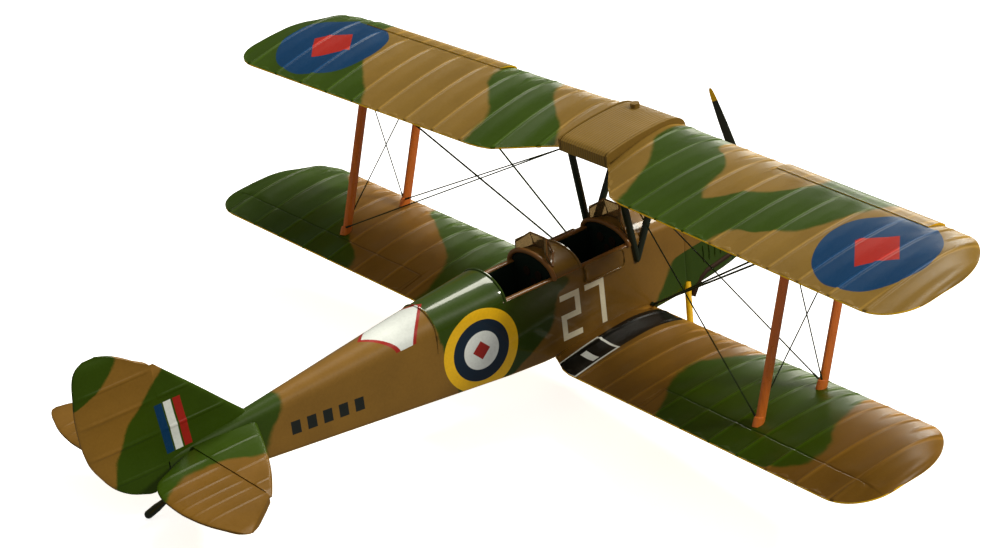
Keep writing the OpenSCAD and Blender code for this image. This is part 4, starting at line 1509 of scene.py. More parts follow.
@dataclass
class Plate:
    """A flat tail surface with round edges and slight ribs: level or upright."""

    node: str
    finish: Finish
    outline: Outline
    upright: bool = False
    level: float = -0.7
    side: int = 1
    round_front: bool = True
    round_back: bool = True
    steps: int = 60
    sag: float = 0.07
    rib: float = 0.1
    rib_edge: Pair = (0.1, 0.28)
    sag_edge: Pair = (0.25, 1.6)
    shares: tuple[float, ...] = (0.0, 0.012, 0.035, 0.08, 0.16, 0.28, 0.4, 0.5, 0.6, 0.72, 0.84, 0.92, 0.965, 0.988,
                                 1.0)

    def half_thick(self, p: float, end: float) -> float:
        """Half the thickness, before the ribs.

        Args:
            p: the share of the local chord.
            end: the share of the thickness that is left near the tip.

        Returns:
            The half thickness in mm.
        """
        t = self.outline.thick / 2 * end
        if self.round_front:
            t *= min(1.0, math.sqrt(max(0.0, 1 - (1 - min(1.0, p / 0.16)) ** 2))) * 0.85 + 0.15
        if self.round_back:
            t *= 0.3 + 0.7 * math.sqrt(max(0.0, 1 - p ** 2.2))
        return t

    def places(self) -> list[float]:
        """Places along the surface: even, and closer at the ribs and the tip.

        Returns:
            The places in mm, in rising order.
        """
        lo, hi = self.outline.front[0][0], self.outline.front[-1][0]
        marks = {lo + (hi - lo) * k / self.steps for k in range(self.steps + 1)}
        marks.update(lo + (hi - lo) * (1 - 0.5 ** k * 0.06) for k in range(1, 6))
        for r in self.outline.ribs:
            marks.update(r + d for d in (-0.28, -0.14, 0, 0.14, 0.28))
        return spaced(marks, lo, hi, 0.015)

    def build(self) -> None:
        """Makes the surface."""
        hi = self.outline.front[-1][0]
        rings = []
        for u in self.places():
            a, b = smooth_interp(self.outline.front, u), smooth_interp(self.outline.back, u)
            b = max(b, a + 0.05)
            end = 1 - ramp(hi - 1.2, hi + 0.1, u) * 0.75
            away = min(abs(u - r) for r in self.outline.ribs)
            rib = self.rib * (1 - ramp(*self.rib_edge, away)) - self.sag * ramp(*self.sag_edge, away)
            ring = []
            for sign in (1, -1):
                for p in self.shares[::sign]:
                    t = self.half_thick(p, end) + rib * (1 - abs(2 * p - 1) ** 6)
                    y = a + p * (b - a)
                    ring.append((sign * t, y, u) if self.upright else (self.side * u, y, self.level + sign * t))
            rings.append(ring)
        place(skin(f"{self.node}_skin", rings, 50), self.finish, "tail_paint", replaces=[self.node])


@dataclass
class Tail:
    """Tailplanes, elevators, fin and rudder."""

    tailplane: Outline = Outline(
        [(0.7, 79.75), (4, 81.2), (8.2, 83.2), (12.2, 85.4), (15, 87.3), (16.2, 88.15)],
        [(0.7, 88.42), (16.2, 88.42)], 1.0, [4.2, 9.3, 13.3])
    elevator: Outline = Outline(
        [(1.2, 88.5), (16.2, 88.5), (17.3, 89.5), (18.7, 91.1), (20, 92.7), (20.8, 93.8)],
        [(1.2, 89.7), (2.4, 92.1), (4.2, 95.3), (5.8, 96.3), (8.2, 96.85), (11.3, 97.0), (14, 96.75), (16.2, 96.3),
         (18, 95.7), (19.4, 95.2), (20.4, 94.6), (20.8, 94.2)], 0.8, [4.2, 6.8, 9.3, 11.4, 13.3, 15.6])
    fin: Outline = Outline(
        [(-0.9, 78.5), (1.2, 80.8), (6.5, 86.1), (10.8, 90.5), (11.3, 91.0)],
        [(-0.9, 91.56), (11.3, 91.56)], 0.9, [3.2, 7.4])
    rudder: Outline = Outline(
        [(-3.9, 93.8), (-3.0, 92.0), (-1.5, 91.55), (11.3, 91.55), (12.48, 93.2), (13.59, 94.8), (14.48, 96.4),
         (15, 97.8)],
        [(-3.9, 94.5), (-3, 96.6), (-1.5, 98.5), (0, 99.6), (3, 101.1), (6.25, 101.6), (8.25, 101.65),
         (11.3, 101.35), (12.48, 101.2), (13.59, 100.9), (14.48, 100.3), (15, 99.4)], 0.9, [-1.0, 3.2, 7.4, 11.0])

    def build_side(self, word: str, side: int) -> None:
        """The tailplane and elevator of one side."""
        Plate(f"tailplane_{word}", Finish.TAIL, self.tailplane, side=side, round_back=False).build()
        Plate(f"elevator_{word}", Finish.TAIL, self.elevator, side=side, round_front=False).build()

    def build_upright(self) -> None:
        """The fin and rudder."""
        Plate("fin", Finish.FIN, self.fin, True, round_back=False).build()
        Plate("rudder", Finish.FIN, self.rudder, True, round_front=False).build()


@dataclass
class Fuselage:
    """The cast body: flat sides, rounded decking, two open cockpits with lined rims."""

    wall: float = 0.8
    floor: float = -5.75
    spacing: float = 1.5
    deck_steps: int = 14
    arch_steps: int = 24
    cockpits: Line = ((25.2, 33.2), (37.3, 45.1))
    half_width: Line = ((16.3, 4.1), (24, 4.4), (34, 4.4), (45.5, 4.2), (91.4, 0.5))
    low: Line = ((16.3, -8.6), (22, -8.8), (40, -8.8), (91.4, -5.1))
    side: Line = ((16.3, 1.3), (24, 1.7), (45.5, 1.7), (91.4, -1.3))
    top: Line = ((16.3, 3.0), (24, 3.6), (34, 3.9), (38, 4.2), (45.5, 4.6), (55, 3.85), (91.4, -0.45))
    lining_rise: float = 2.4
    strip_span: Pair = (25.0, 20.4)
    deck_end: float = 55.1
    deck_end_z: float = -1.2
    door: tuple[float, float, float, float] = (26.4, 32.8, -0.55, 1.9)
    door_corner: float = 0.5
    door_rings: Line = ((0.0, 4.3), (0.0, 4.46), (0.05, 4.54), (0.15, 4.6), (0.3, 4.63), (0.55, 4.65), (0.85, 4.65))

    def half_ring(self, y: float) -> list[Point]:
        """Half a section, from the belly's middle up to the spine.

        Args:
            y: the place along the aircraft, in mm.

        Returns:
            The points.
        """
        w, low, side, top = (interp(line, y) for line in (self.half_width, self.low, self.side, self.top))
        r = min(0.7, w * 0.8)
        ring: list[Point] = [(0.0, y, low), (w - r, y, low)]
        for i in range(1, 6):
            a = math.pi / 2 * i / 5
            ring.append((w - r + r * math.sin(a), y, low + r - r * math.cos(a)))
        for k in (0.25, 0.5, 0.75):
            ring.append((w, y, low + r + k * (side - low - r)))
        for i in range(self.deck_steps + 1):
            a = math.pi / 2 * i / self.deck_steps
            ring.append((w * math.cos(a), y, side + (top - side) * math.sin(a)))
        return ring

    def deck_z(self, x: float, y: float) -> float:
        """Height of the decking at x across and y along the body, in mm."""
        w, side, top = (interp(line, y) for line in (self.half_width, self.side, self.top))
        return side + (top - side) * math.sqrt(max(0.0, 1 - (x / w) ** 2))

    def arch(self, y: float, lift: float = 0.0, from_z: float | None = None) -> list[Point]:
        """The decking's curve across the body.

        Args:
            y: the place along the body, in mm.
            lift: how far it is raised, in mm.
            from_z: the height at which it starts and ends; at the decking's edge if left out.

        Returns:
            The points, from port to starboard.
        """
        w, side, top = (interp(line, y) for line in (self.half_width, self.side, self.top))
        curve: list[Point] = []
        for i in range(self.arch_steps + 1):
            a = math.pi * i / self.arch_steps
            curve.append(((w + lift) * math.cos(a), y, side + (top - side + lift) * math.sin(a)))
        if from_z is not None:
            curve = [(w + lift, y, from_z), *curve, (-w - lift, y, from_z)]
        return curve

    def shell(self) -> None:
        """The outer skin with a lined well at each cockpit."""
        first, last = self.half_width[0][0], self.half_width[-1][0]
        ys = {y for line in (self.half_width, self.low, self.side, self.top) for y, _ in line}
        ys.update(first + self.spacing * k for k in range(int((last - first) / self.spacing) + 1))
        ys.update(y for ends in self.cockpits for y in ends)
        places = spaced(ys, first, last, 1e-6)
        halves = [self.half_ring(y) for y in places]
        rings = [h + [(-p[0], p[1], p[2]) for p in h[-2:0:-1]] for h in halves]
        n = len(rings[0])
        sill = len(halves[0]) - 1 - self.deck_steps
        points = [p for r in rings for p in r]
        faces: list[list[int]] = []
        for k in range(len(places) - 1):
            inside = any(a - 1e-6 <= places[k] and places[k + 1] <= b + 1e-6 for a, b in self.cockpits)
            for i in range(n):
                if not (inside and sill <= i < n - sill):
                    j = (i + 1) % n
                    faces.append([k * n + i, k * n + j, (k + 1) * n + j, (k + 1) * n + i])
        faces.append(list(range(n)))
        faces.append([(len(places) - 1) * n + i for i in range(n)])
        lining: list[list[int]] = []
        for a, b in self.cockpits:
            inner = [k for k, y in enumerate(places) if a - 1e-6 <= y <= b + 1e-6]
            base = len(points)
            for y in (places[k] for k in inner):
                w, side = interp(self.half_width, y) - self.wall, interp(self.side, y)
                points += [(w, y, side), (w, y, self.floor), (-w, y, self.floor), (-w, y, side)]
            for m in range(len(inner) - 1):
                p, q = base + 4 * m, base + 4 * (m + 1)
                k0, k1 = inner[m] * n, inner[m + 1] * n
                faces.append([k0 + sill, p, q, k1 + sill])
                faces.append([k0 + n - sill, p + 3, q + 3, k1 + n - sill])
                lining += [[p + i, p + i + 1, q + i + 1, q + i] for i in range(3)]
            for m in (0, len(inner) - 1):
                k, p = inner[m] * n, base + 4 * m
                lining.append([k + i for i in range(sill, n - sill + 1)] + [p + 3, p + 2, p + 1, p])
        obj = make_mesh("fuselage_shell", points, faces + lining)
        place(obj, Finish.BODY, "fuselage_paint", replaces=["fuselage_left", "fuselage_right"])
        obj.data.materials.append(PAINTS[Finish.COCKPIT])
        for polygon in obj.data.polygons:
            if self.lines_well(polygon):
                polygon.material_index = 1

    def lines_well(self, polygon: bpy.types.MeshPolygon) -> bool:
        """Whether a face belongs to the lining of a cockpit.

        Args:
            polygon: a face of the shell.

        Returns:
            True for the wells' walls and floors.
        """
        centre = polygon.center / MM
        y, z = self.level(centre)
        beside = abs(centre[0]) <= interp(self.half_width, y) - self.wall + 0.01
        if not beside or z >= interp(self.side, y) + self.lining_rise:
            return False
        upright = abs(polygon.normal[2]) < 0.9
        return any(a - 0.01 <= y <= b + 0.01 for a, b in self.cockpits) and (upright or z < -5.0)

    @staticmethod
    def level(p: Vector) -> Pair:
        """The aircraft frame's y and z of a place.

        Args:
            p: the place in mm in the row's frame.

        Returns:
            (y, z)
        """
        c, s = math.cos(STANCE.pitch), math.sin(STANCE.pitch)
        y, z = p[1] - STANCE.shift_y, p[2] - STANCE.shift_z
        return y * c - z * s, y * s + z * c

    def trim(self) -> None:
        """Coaming strips along the sills, pads on the cockpits' front edges and lips on the decking's others."""
        start, length = self.strip_span
        strips = []
        for sign in (-1, 1):
            path = []
            for k in range(41):
                y = start + length * k / 40
                path.append((sign * (interp(self.half_width, y) - 0.36), y, interp(self.side, y) + 0.1))
            strips.append(tube(path, 0.3, 10, (1.35, 0.62)))
        place(make_mesh("coaming_strips", *joined(strips)), Finish.LEATHER, "fuselage_paint")
        pads = [tube(self.arch(y + 0.12), 0.32, 10) for y, _ in self.cockpits]
        place(make_mesh("coaming_pads", *joined(pads)), Finish.LEATHER, "fuselage_paint")
        lips = [tube(self.arch(y, 0.02), 0.17, 8) for _, y in self.cockpits]
        lips.append(tube(self.arch(self.deck_end, 0.0, self.deck_end_z), 0.15, 8))
        place(make_mesh("deck_lips", *joined(lips)), Finish.BODY, "fuselage_paint")

    def doors(self) -> None:
        """The two front cockpit doors: slightly pillowed panels with rounded corners and a raised rim."""
        y0, y1, z0, z1 = self.door
        for word, sign in SIDES:
            rings = []
            for inset, x in self.door_rings:
                r = max(0.12, self.door_corner - inset * 0.4)
                back, fore, high, low = y1 - inset - r, y0 + inset + r, z1 - inset - r, z0 + inset + r
                ring: list[Point] = []
                for cy, cz, start in ((back, high, 0), (fore, high, 90), (fore, low, 180), (back, low, 270)):
                    for a in (math.radians(start + 15 * k) for k in range(7)):
                        ring.append((sign * x, cy + r * math.cos(a), cz + r * math.sin(a)))
                rings.append(ring)
            place(skin(f"door_{word}_panel", rings), Finish.BODY, "fuselage_paint", replaces=[f"door_{word}"])
            rim = [(sign * 4.6, y, z) for _, y, z in rings[1]]
            place(make_mesh(f"door_{word}_rim", *tube(rim + rim[:2], 0.11, 8)), Finish.BODY, "fuselage_paint")

    def build(self) -> None:
        """Makes the fuselage."""
        self.shell()
        self.trim()
        self.doors()


@dataclass
class Cowl:
    """The engine cowl: a smooth blunt nose with panel seams, louvres, a duct lip and the exhaust pipe."""

    half_width: Line = ((2.2, 2.1), (2.45, 2.45), (3.0, 2.85), (5, 3.3), (9, 3.7), (13, 3.95), (16.3, 4.1))
    low: Line = ((2.2, -5.7), (2.45, -6.3), (3.0, -6.9), (5, -7.7), (9, -8.3), (13, -8.5), (16.3, -8.6))
    top: Line = ((2.2, 1.6), (2.45, 1.85), (3.0, 2.05), (5, 2.3), (9, 2.55), (16.3, 3.0))
    side: Line = ((2.2, 0.2), (5, 0.5), (16.3, 1.3))
    corner: tuple[Pair, Pair] = ((2.2, 1.5), (16.3, 0.7))
    seams: Pair = (7.5, 16.0)
    seam_depth: float = 0.07
    face_share: float = 0.3
    face_z: float = -2.0
    louvre_count: int = 5
    louvre_first: float = 8.6
    louvre_pitch: float = 1.05
    louvre_line: Line = ((-5.6, -0.02), (-5.2, 0.05), (-3.6, 0.05), (-3.2, -0.02))
    exhaust: tuple[Point, ...] = ((-3.3, 6.2, -6.3), (-3.62, 9.5, -6.6), (-3.74, 12.4, -6.95), (-3.76, 13.4, -7.5),
                                  (-3.7, 14.2, -8.5), (-3.66, 14.9, -9.7))
    exhaust_radii: tuple[float, ...] = (0.34, 0.38, 0.4, 0.4, 0.4, 0.4)
    duct_centre: Point = (1.45, 2.16, -3.6)
    duct_half: Pair = (0.62, 1.3)

    def ring(self, y: float, out: float = 0.0) -> list[Point]:
        """A whole section.

        Args:
            y: the place along the aircraft, in mm.
            out: how far it is swelled, in mm.

        Returns:
            The points.
        """
        w, low, top, side = (smooth_interp(line, y) for line in (self.half_width, self.low, self.top, self.side))
        w, low, top = w + out, low - out, top + out
        r = interp(self.corner, y)
        half: list[Point] = [(0.0, y, low), (w - r, y, low)]
        for i in range(1, 7):
            a = math.pi / 2 * i / 6
            half.append((w - r + r * math.sin(a), y, low + r - r * math.cos(a)))
        for k in (0.3, 0.6, 0.85):
            half.append((w, y, low + r + k * (side - low - r)))
        for i in range(13):
            a = math.pi / 2 * i / 12
            half.append((w * math.cos(a), y, side + (top - side) * math.sin(a)))
        return half + [(-p[0], p[1], p[2]) for p in half[-2:0:-1]]

    def build(self) -> None:
        """Makes the cowl with its seams, the louvres, the exhaust pipe and the nose duct's lip."""
        ys = [2.2, 2.3, 2.45, 2.7, 3.0, 3.5, 4.2, 5, 6, 7, 7.4, 7.5, 7.6, 9, 10.5, 12, 13.5, 15, 15.9, 16.0, 16.1,
              16.34]
        rings = [self.ring(y, -self.seam_depth if y in self.seams else 0.0) for y in ys]
        share, z = self.face_share, self.face_z
        face = [(p[0] * share, ys[0], z + (p[2] - z) * share) for p in rings[0]]
        place(skin("cowl_shell", [face, *rings]), Finish.BODY, "cowl_paint", replaces=["engine_cowl"])
        louvres = []
        for sign in (-1, 1):
            for k in range(self.louvre_count):
                y = self.louvre_first + self.louvre_pitch * k
                w = smooth_interp(self.half_width, y)
                louvres.append(tube([(sign * (w + out), y, z) for z, out in self.louvre_line], 0.1, 8))
        place(make_mesh("cowl_louvres", *joined(louvres)), Finish.BODY, "cowl_paint")
        pipe = tube(self.exhaust, self.exhaust_radii, 16)
        place(make_mesh("exhaust_pipe_shell", *pipe), Finish.EXHAUST, "exhaust_dark", replaces=["exhaust_pipe"])
        x, y, z = self.duct_centre
        wide, high = self.duct_half
        turns = [2 * math.pi * i / 28 for i in range(29)]
        lip = tube([(x + wide * math.cos(a), y, z + high * math.sin(a)) for a in turns], 0.14, 8)
        place(make_mesh("duct_lip", *lip), Finish.BODY, "cowl_paint")


@dataclass
class Tank:
    """The fuel tank between the upper wings: corrugated, with raised seams and blunt back."""

    half: float = 4.6
    plan: WingPlan = UPPER_PLAN
    chord: float = 13.1
    line: Line = (
        (0, 0.2), (0.012, 0.62), (0.03, 0.95), (0.07, 1.33), (0.12, 1.6), (0.18, 1.82), (0.26, 1.95), (0.36, 2.02),
        (0.5, 2.02), (0.62, 1.97), (0.75, 1.86), (0.87, 1.69), (0.96, 1.5), (1.0, 1.2))
    belly: Line = ((1.0, -0.3), (0.7, -0.5), (0.35, -0.6), (0.1, -0.55), (0.02, -0.2))
    insets: tuple[float, ...] = (-0.02, 0.05, 0.24, 0.3, 0.44, 0.5)
    groove: Pair = (0.29, 0.45)
    groove_depth: float = 0.16
    rim: float = 0.25
    rim_height: float = 0.09
    edge_round: float = 0.06
    steps: int = 60

    def ring(self, x: float) -> list[Point]:
        """A whole section.

        Args:
            x: the place across the aircraft, in mm.

        Returns:
            The points.
        """
        inboard = self.half - abs(x)
        lift = self.rim_height if inboard < self.rim else 0.0
        if self.groove[0] < inboard < self.groove[1]:
            lift = -self.groove_depth
        section = []
        for k in range(self.steps + 1):
            p = k / self.steps
            p = p * p * (3 - 2 * p) * 0.5 + p * 0.5
            section.append((p, smooth_interp(self.line, p) + lift * ramp(0.02, 0.1, p)))
        section += self.belly
        edge = self.edge_round if abs(x) > self.half - 0.01 else 0.0
        return [(x, self.plan.lead_y + p * self.chord + (edge if p < 0.01 else 0),
                 self.plan.lead_z - self.plan.incidence * p * self.chord + z - edge * (1 if z > 0 else -1))
                for p, z in section]

    def build(self) -> None:
        """Makes the tank and its seams."""
        xs = [-self.half + inset for inset in self.insets] + [-3.0, -1.5, 0.0]
        xs += [-x for x in reversed(xs[:-1])]
        tank = skin("tank_shell", [self.ring(x) for x in xs], 40)
        place(tank, Finish.TANK, "tank_paint", replaces=["fuel_tank"])


@dataclass
class Screens:
    """Painted frames round the panes of the two windscreens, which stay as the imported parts."""

    places: tuple[tuple[str, float], ...] = (("front", 23.05), ("rear", 35.15))
    top: float = 5.9
    lean: float = 0.7
    foot_half: float = 1.7
    tip_half: float = 1.55
    outer_foot: Pair = (3.5, 1.7)
    outer_tip: Pair = (3.05, 2.0)
    outer_drop: float = 1.25
    bar: float = 0.1
    bead: float = 0.2

    def build(self) -> None:
        """Makes the two frames."""
        body = Fuselage()
        for name, y in self.places:
            foot_z, tip_y, outer_z = body.deck_z(self.foot_half, y), y + self.lean, body.deck_z(self.outer_foot[0], y)
            parts = []
            for sign in (-1, 1):
                foot, tip = (sign * self.foot_half, y, foot_z), (sign * self.tip_half, tip_y, self.top)
                outer = (sign * self.outer_foot[0], y + self.outer_foot[1], outer_z)
                outer_tip = (sign * self.outer_tip[0], y + self.outer_tip[1], self.top - self.outer_drop)
                parts.append(tube([foot, tip], self.bar, 8))
                parts.append(tube([foot, outer], self.bead, 8))
                parts.append(tube([tip, outer_tip, outer], self.bar, 8))
            bottom = [(-self.foot_half, y, foot_z), (0, y - 0.05, body.deck_z(0, y)), (self.foot_half, y, foot_z)]
            parts.append(tube(bottom, self.bead, 8))
            over = [(-self.tip_half, tip_y, self.top), (0, tip_y, self.top + 0.03), (self.tip_half, tip_y, self.top)]
            parts.append(tube(over, self.bar, 8))
            place(make_mesh(f"windscreen_frame_{name}", *joined(parts)), Finish.LEATHER, "windscreen_clear")


@dataclass
class Propeller:
    """Two twisted blades and a hub, on the spinning body."""

    radius: float = 13.4
    root: float = 0.9
    turn: float = 25.0
    hub_y: float = 1.0
    chord: Line = ((0.9, 0.9), (2.5, 1.1), (5, 1.3), (8, 1.25), (11, 1.0), (12.6, 0.75), (13.2, 0.5), (13.4, 0.22))
    pitch: Line = ((0.9, 58), (3, 44), (6, 29), (10, 20), (13.4, 15))
    hub: Line = ((-0.68, 0.5), (-0.7, 0.95), (-0.6, 1.1), (-0.45, 1.15), (0.45, 1.15), (0.6, 1.1),
                 (0.7, 0.95), (0.72, 0.56))
    steps: int = 40
    sides: int = 20
    flat_share: float = 0.45

    def section(self, r: float, start: float) -> list[Point]:
        """One section of a blade.

        Args:
            r: the distance from the hub, in mm.
            start: the blade's own angle round the hub, in radians.

        Returns:
            The points.
        """
        c = smooth_interp(self.chord, r)
        a = math.radians(smooth_interp(self.pitch, r))
        thick = max(0.1, 0.62 * (1 - r / self.radius) ** 0.7 + 0.12)
        turn = math.radians(self.turn) + start
        ring = []
        for t in (2 * math.pi * i / self.sides for i in range(self.sides)):
            u = c / 2 * math.cos(t)
            v = thick / 2 * math.sin(t) * (1.0 if math.sin(t) > 0 else self.flat_share)
            along = self.hub_y + u * math.sin(a) - v * math.cos(a)
            across = u * math.cos(a) + v * math.sin(a)
            ring.append((r * math.sin(turn) + across * math.cos(turn), along,
                         r * math.cos(turn) - across * math.sin(turn)))
        return ring

    def build(self) -> None:
        """Makes the blades and hub."""
        length = self.radius - self.root
        reach = [self.root + length * (1 - (1 - k / self.steps) ** 1.4) for k in range(self.steps + 1)]
        parts = [ring_skin([self.section(r, start) for r in reach]) for start in (0.0, math.pi)]
        parts.append(turned(self.hub, (0, self.hub_y, 0)))
        place(make_mesh("propeller_blades", *joined(parts)), Finish.PROPELLER, "propeller_dark", "propeller",
              ["propeller"])


@dataclass
class Fittings:
    """Small sockets at the ends of the interplane struts."""

    reach: tuple[float, ...] = (0.5, 1.1, 1.2)
    radii: tuple[float, ...] = (0.62, 0.62, 0.55, 0.42)
    sunk: float = 0.25
    flatten: Pair = (0.75, 1.35)

    def build(self) -> None:
        """Makes the sockets."""
        parts = []
        for sign in (-1, 1):
            for ch in STRUT_PLACES:
                ends = (LOWER_PLAN.at(STRUT_SPAN, ch, on_section(TOP_LINE, ch)),
                        UPPER_PLAN.at(STRUT_SPAN, ch, on_section(LOW_LINE, ch)))
                low, high = (Vector((sign * x, y, z)) for x, y, z in ends)
                way = (high - low).normalized()
                for base, sense in ((low, 1), (high, -1)):
                    start = base - way * (self.sunk * sense)
                    path = [tuple(start)] + [tuple(start + way * (r * sense)) for r in self.reach]
                    parts.append(tube(path, self.radii, 14, self.flatten))
        place(make_mesh("strut_sockets", *joined(parts)), Finish.WOOD, "strut_wood_tone")


@dataclass
class Rigging:
    """The wires, each a thin thread with a sleeve at its ends, and the forks at the wing roots."""

    root: Point = (4.65, 22.2, -7.6)
    centre: Point = (4.4, 26.7, 13.29)
    above_foot: float = 0.9
    below_head: float = 0.7
    inboard: float = 0.35
    apart: float = 0.14
    flying: float = 0.13
    landing: float = 0.09
    incidence: float = 0.08
    sleeve: Pair = (0.9, 0.04)
    fork: Line = ((-0.38, -0.42), (-0.1, -0.2), (0.4, 0.24))

    def foot(self, ch: float) -> Vector:
        """Where wires meet the foot of the strut at chord place ch."""
        x, y, z = LOWER_PLAN.at(STRUT_SPAN, ch, on_section(TOP_LINE, ch))
        return Vector((x, y, z + self.above_foot))

    def head(self, ch: float) -> Vector:
        """Where wires meet the head of the strut at chord place ch."""
        x, y, z = UPPER_PLAN.at(STRUT_SPAN, ch, on_section(LOW_LINE, ch))
        return Vector((x, y, z - self.below_head))

    def wire(self, start: Vector, end: Vector, radius: float) -> list[Shell]:
        """Parts of one wire and its sleeves, on both sides of the aircraft.

        Args:
            start: one end in mm, on the port side.
            end: the other end.
            radius: of the wire in mm.

        Returns:
            The parts of the port and the starboard wire.
        """
        length, more = self.sleeve
        parts = []
        for sign in (1, -1):
            a, b = Vector((sign * start[0], start[1], start[2])), Vector((sign * end[0], end[1], end[2]))
            way = (b - a).normalized()
            parts.append(tube([tuple(a), tuple(b)], radius, 8))
            parts.append(tube([tuple(a), tuple(a + way * length)], radius + more, 8))
            parts.append(tube([tuple(b - way * length), tuple(b)], radius + more, 8))
        return parts

    def build(self) -> None:
        """Makes the three sets of wires."""
        aside, out = Vector((self.inboard, 0, 0)), Vector((self.apart, 0, 0))
        root, centre = Vector(self.root), Vector(self.centre)
        flying = [part for ch in STRUT_PLACES for part in self.wire(root, self.head(ch) - aside, self.flying)]
        for sign in (1, -1):
            x, y, z = sign * (self.root[0] - 0.05), self.root[1], self.root[2]
            flying.append(tube([(x, y + dy, z + dz) for dy, dz in self.fork], 0.24, 10, (0.8, 1.0)))
        landing = [part for ch in STRUT_PLACES for part in self.wire(centre, self.foot(ch) - aside, self.landing)]
        near, far = STRUT_PLACES
        crossed = self.wire(self.foot(near) + out, self.head(far) + out, self.incidence)
        crossed += self.wire(self.foot(far) - out, self.head(near) - out, self.incidence)
        for kind, parts in (("flying", flying), ("landing", landing), ("incidence", crossed)):
            threads = make_mesh(f"{kind}_wire_threads", *joined(parts))
            place(threads, Finish.WIRE, "rigging_dark", replaces=[f"{kind}_wires"])


@dataclass
class Skid:
    """The tail skid: a plain rod with a thicker round end."""

    root: Point = (0.0, 89.3, -4.7)
    tip: Point = (0.0, 95.0, -6.39)
    shank: float = 0.38
    end: float = 0.5
    swell: Triple = (2.2, 1.7, 1.2)

    def build(self) -> None:
        """Makes the rod."""
        start, tip = Vector(self.root), Vector(self.tip)
        length = (tip - start).length
        way = (tip - start).normalized()
        turns = [math.pi / 2 * k / 8 for k in range(1, 9)]
        reach = [0.0, *[length - back for back in self.swell], length]
        reach += [length + self.end * math.sin(a) for a in turns]
        radii = [self.shank, self.shank, (self.shank + self.end) / 2, self.end, self.end]
        radii += [max(0.01, self.end * math.cos(a)) for a in turns]
        rod = tube([tuple(start + way * r) for r in reach], radii, 16)
        place(make_mesh("skid_rod", *rod), Finish.DARK, "undercarriage_yellow", replaces=["tail_skid"])


@dataclass
class CarriedParts:
    """CAD nodes whose shape stays, by finish; a name ending in * stands for its left and right nodes."""

    finishes: tuple[tuple[Finish, str], ...] = (
        (Finish.BODY, "cooling_scoop"),
        (Finish.COCKPIT, "cockpit_floor"),
        (Finish.PANEL, "instrument_panel_front instrument_panel_rear"),
        (Finish.SEAT, "seat_front seat_rear"),
        (Finish.BLACK, "control_stick_front control_stick_rear stand_socket"),
        (Finish.GLASS, "windscreen_front windscreen_rear"),
        (Finish.TANK, "filler_cap"),
        (Finish.WOOD, "strut_front_* strut_rear_*"),
        (Finish.DARK, "cabane_* tailplane_stays"),
        (Finish.YELLOW, "leg_* axle_strut_*"),
        (Finish.METAL, "axle_cap_* propeller_shaft propeller_boss"),
        (Finish.WHEEL, "wheel_*"),
        (Finish.TYRE, "tyre_*"),
        (Finish.BRASS, "nose_bush"),
    )

    def build(self) -> None:
        """Dresses each node."""
        for finish, names in self.finishes:
            for name in names.split():
                for node in dict.fromkeys(name.replace("*", word) for word, _ in SIDES):
                    obj = frame["nodes"][node]
                    obj.data.materials.clear()
                    obj.data.materials.append(PAINTS[finish])
                    soften(obj, 30)


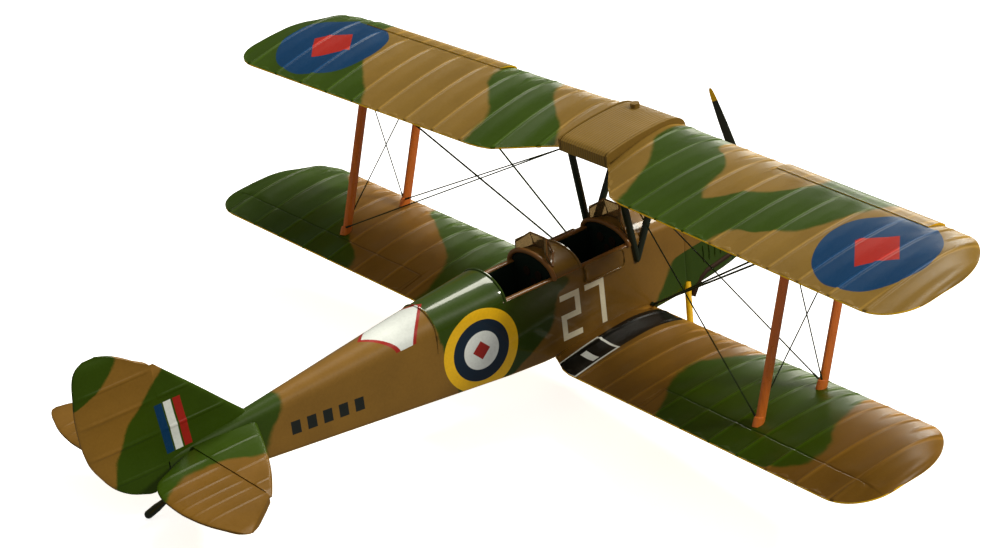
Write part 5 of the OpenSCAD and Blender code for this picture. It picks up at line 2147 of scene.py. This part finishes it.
@dataclass
class Studio:
    """Plain pale floor, soft light and the camera."""

    camera_at: Point = (-231.806, 211.380, 143.584)
    right: Point = (-0.62741, -0.77131, -0.10691)
    up: Point = (0.28253, -0.35343, 0.89177)
    back: Point = (-0.72562, 0.52931, 0.43967)
    lens: float = 94.34
    clip: Pair = (0.01, 50)
    ambient: float = 0.32
    mirror_loss: float = 0.7
    floor_half: float = 6.0
    floor_drop: float = 0.00002
    floor_grey: float = 0.9
    floor_glow: float = 0.8
    sky: Colour = (1.0, 0.99, 0.96)
    warmth: Colour = (1.0, 0.97, 0.86)
    suns: tuple[tuple[str, Point, float, float], ...] = (
        ("key", (0.25, -0.4, 0.88), 2.0, 24.0),
        ("rim", (0.6, -0.75, 0.3), 0.5, 16.0),
        ("fill", (-0.63, -0.39, 0.66), 1.7, 8.0),
    )

    def sun(self, name: str, towards: Point, strength: float, angle: float) -> None:
        """One soft even light.

        Args:
            name: its name.
            towards: the direction to it in the row's frame.
            strength: its strength.
            angle: its width in degrees.
        """
        data = bpy.data.lights.new(name, "SUN")
        data.energy, data.angle, data.color = strength, math.radians(angle), self.warmth
        obj = bpy.data.objects.new(name, data)
        obj.rotation_mode = "QUATERNION"
        obj.rotation_quaternion = Vector(towards).to_track_quat("Z", "Y")
        bpy.context.scene.collection.objects.link(obj)

    @staticmethod
    def choose(tree: Tree, share: Socket, first: Node, second: Node, last: str) -> None:
        """Mixes two shaders into an output.

        Args:
            tree: the node tree.
            share: 0 for the first shader, 1 for the second.
            first: a shader node.
            second: another.
            last: the name of the output node.
        """
        mixed = tree.add("ShaderNodeMixShader")
        tree.feed(mixed.inputs[0], share)
        tree.tree.links.new(first.outputs[0], mixed.inputs[1])
        tree.tree.links.new(second.outputs[0], mixed.inputs[2])
        tree.tree.links.new(mixed.outputs[0], tree.tree.nodes[last].inputs["Surface"])

    def floor(self) -> None:
        """The pale floor, seen from above only."""
        mesh = bpy.data.meshes.new("floor")
        corners = ((-1, -1), (1, -1), (1, 1), (-1, 1))
        points = [(self.floor_half * x, self.floor_half * y, -self.floor_drop) for x, y in corners]
        mesh.from_pydata(points, [], [[0, 1, 2, 3]])
        obj = bpy.data.objects.new("floor", mesh)
        bpy.context.scene.collection.objects.link(obj)
        obj.visible_diffuse = False
        obj.visible_glossy = False
        material = bpy.data.materials.new(Finish.FLOOR.value)
        material.use_nodes = True
        tree = Tree(material.node_tree)
        shader = material.node_tree.nodes["Principled BSDF"]
        for name, value in (("Base Color", (self.floor_grey,) * 3), ("Roughness", 0.9), ("Specular IOR Level", 0.0),
                            ("Emission Color", (1, 1, 1)), ("Emission Strength", self.floor_glow)):
            tree.feed(shader.inputs[name], value)
        below = tree.add("ShaderNodeBsdfTransparent")
        seen = tree.add("ShaderNodeNewGeometry").outputs["Backfacing"]
        self.choose(tree, seen, shader, below, "Material Output")
        mesh.materials.append(material)

    def world(self) -> None:
        """A white surround that lights the object only softly."""
        world = bpy.data.worlds.new("studio")
        world.use_nodes = True
        tree = Tree(world.node_tree)
        soft = world.node_tree.nodes["Background"]
        tree.feed(soft.inputs["Color"], self.sky)
        white = tree.add("ShaderNodeBackground")
        tree.feed(white.inputs["Color"], (1, 1, 1))
        tree.feed(white.inputs["Strength"], 1.0)
        path = tree.add("ShaderNodeLightPath")
        dimmed = tree.mul(path.outputs["Is Glossy Ray"], self.ambient * self.mirror_loss)
        tree.feed(soft.inputs["Strength"], tree.sub(self.ambient, dimmed))
        self.choose(tree, path.outputs["Is Camera Ray"], soft, white, "World Output")
        bpy.context.scene.world = world

    def camera(self) -> None:
        """The camera, from behind and above on the starboard side."""
        data = bpy.data.cameras.new("camera")
        data.lens, data.sensor_width = self.lens, 36.0
        data.clip_start, data.clip_end = self.clip
        camera = bpy.data.objects.new("camera", data)
        columns = [STANCE.turn(v) for v in (self.right, self.up, self.back)]
        matrix = Matrix(columns).transposed().to_4x4()
        matrix.translation = STANCE.at(self.camera_at)
        camera.matrix_world = matrix
        bpy.context.scene.collection.objects.link(camera)
        bpy.context.scene.camera = camera

    def build(self) -> None:
        """Makes the floor, the world, the lights and the camera."""
        self.floor()
        self.world()
        for sun in self.suns:
            self.sun(*sun)
        bpy.context.scene.view_settings.view_transform = "Standard"
        self.camera()


def main() -> None:
    """Builds the stage and every piece in order."""
    logging.basicConfig(level=logging.INFO, format="%(message)s")
    Studio().build()
    build_finishes()
    tail = Tail()
    for word, side in SIDES:
        upper = Wing(f"upper_wing_{word}", side, UPPER_PLAN, UPPER_ROOT, Finish.UPPER, "upper_wing_paint",
                     slat=SLAT_SPAN)
        upper.build()
        Slat(upper).build()
        Wing(f"lower_wing_{word}", side, LOWER_PLAN, LOWER_ROOT, Finish.LOWER, "lower_wing_paint",
             rib_first=LOWER_RIB_FIRST, aileron=AILERON).build()
        LOG.info("wings: %s", word)
        tail.build_side(word, side)
    tail.build_upright()
    LOG.info("tail")
    for piece in (Fuselage(), Cowl(), Tank(), Screens(), Propeller(), Fittings(), Rigging(), Skid(), CarriedParts()):
        piece.build()
        LOG.info("%s", type(piece).__name__)


if __name__ == "__main__":
    main()
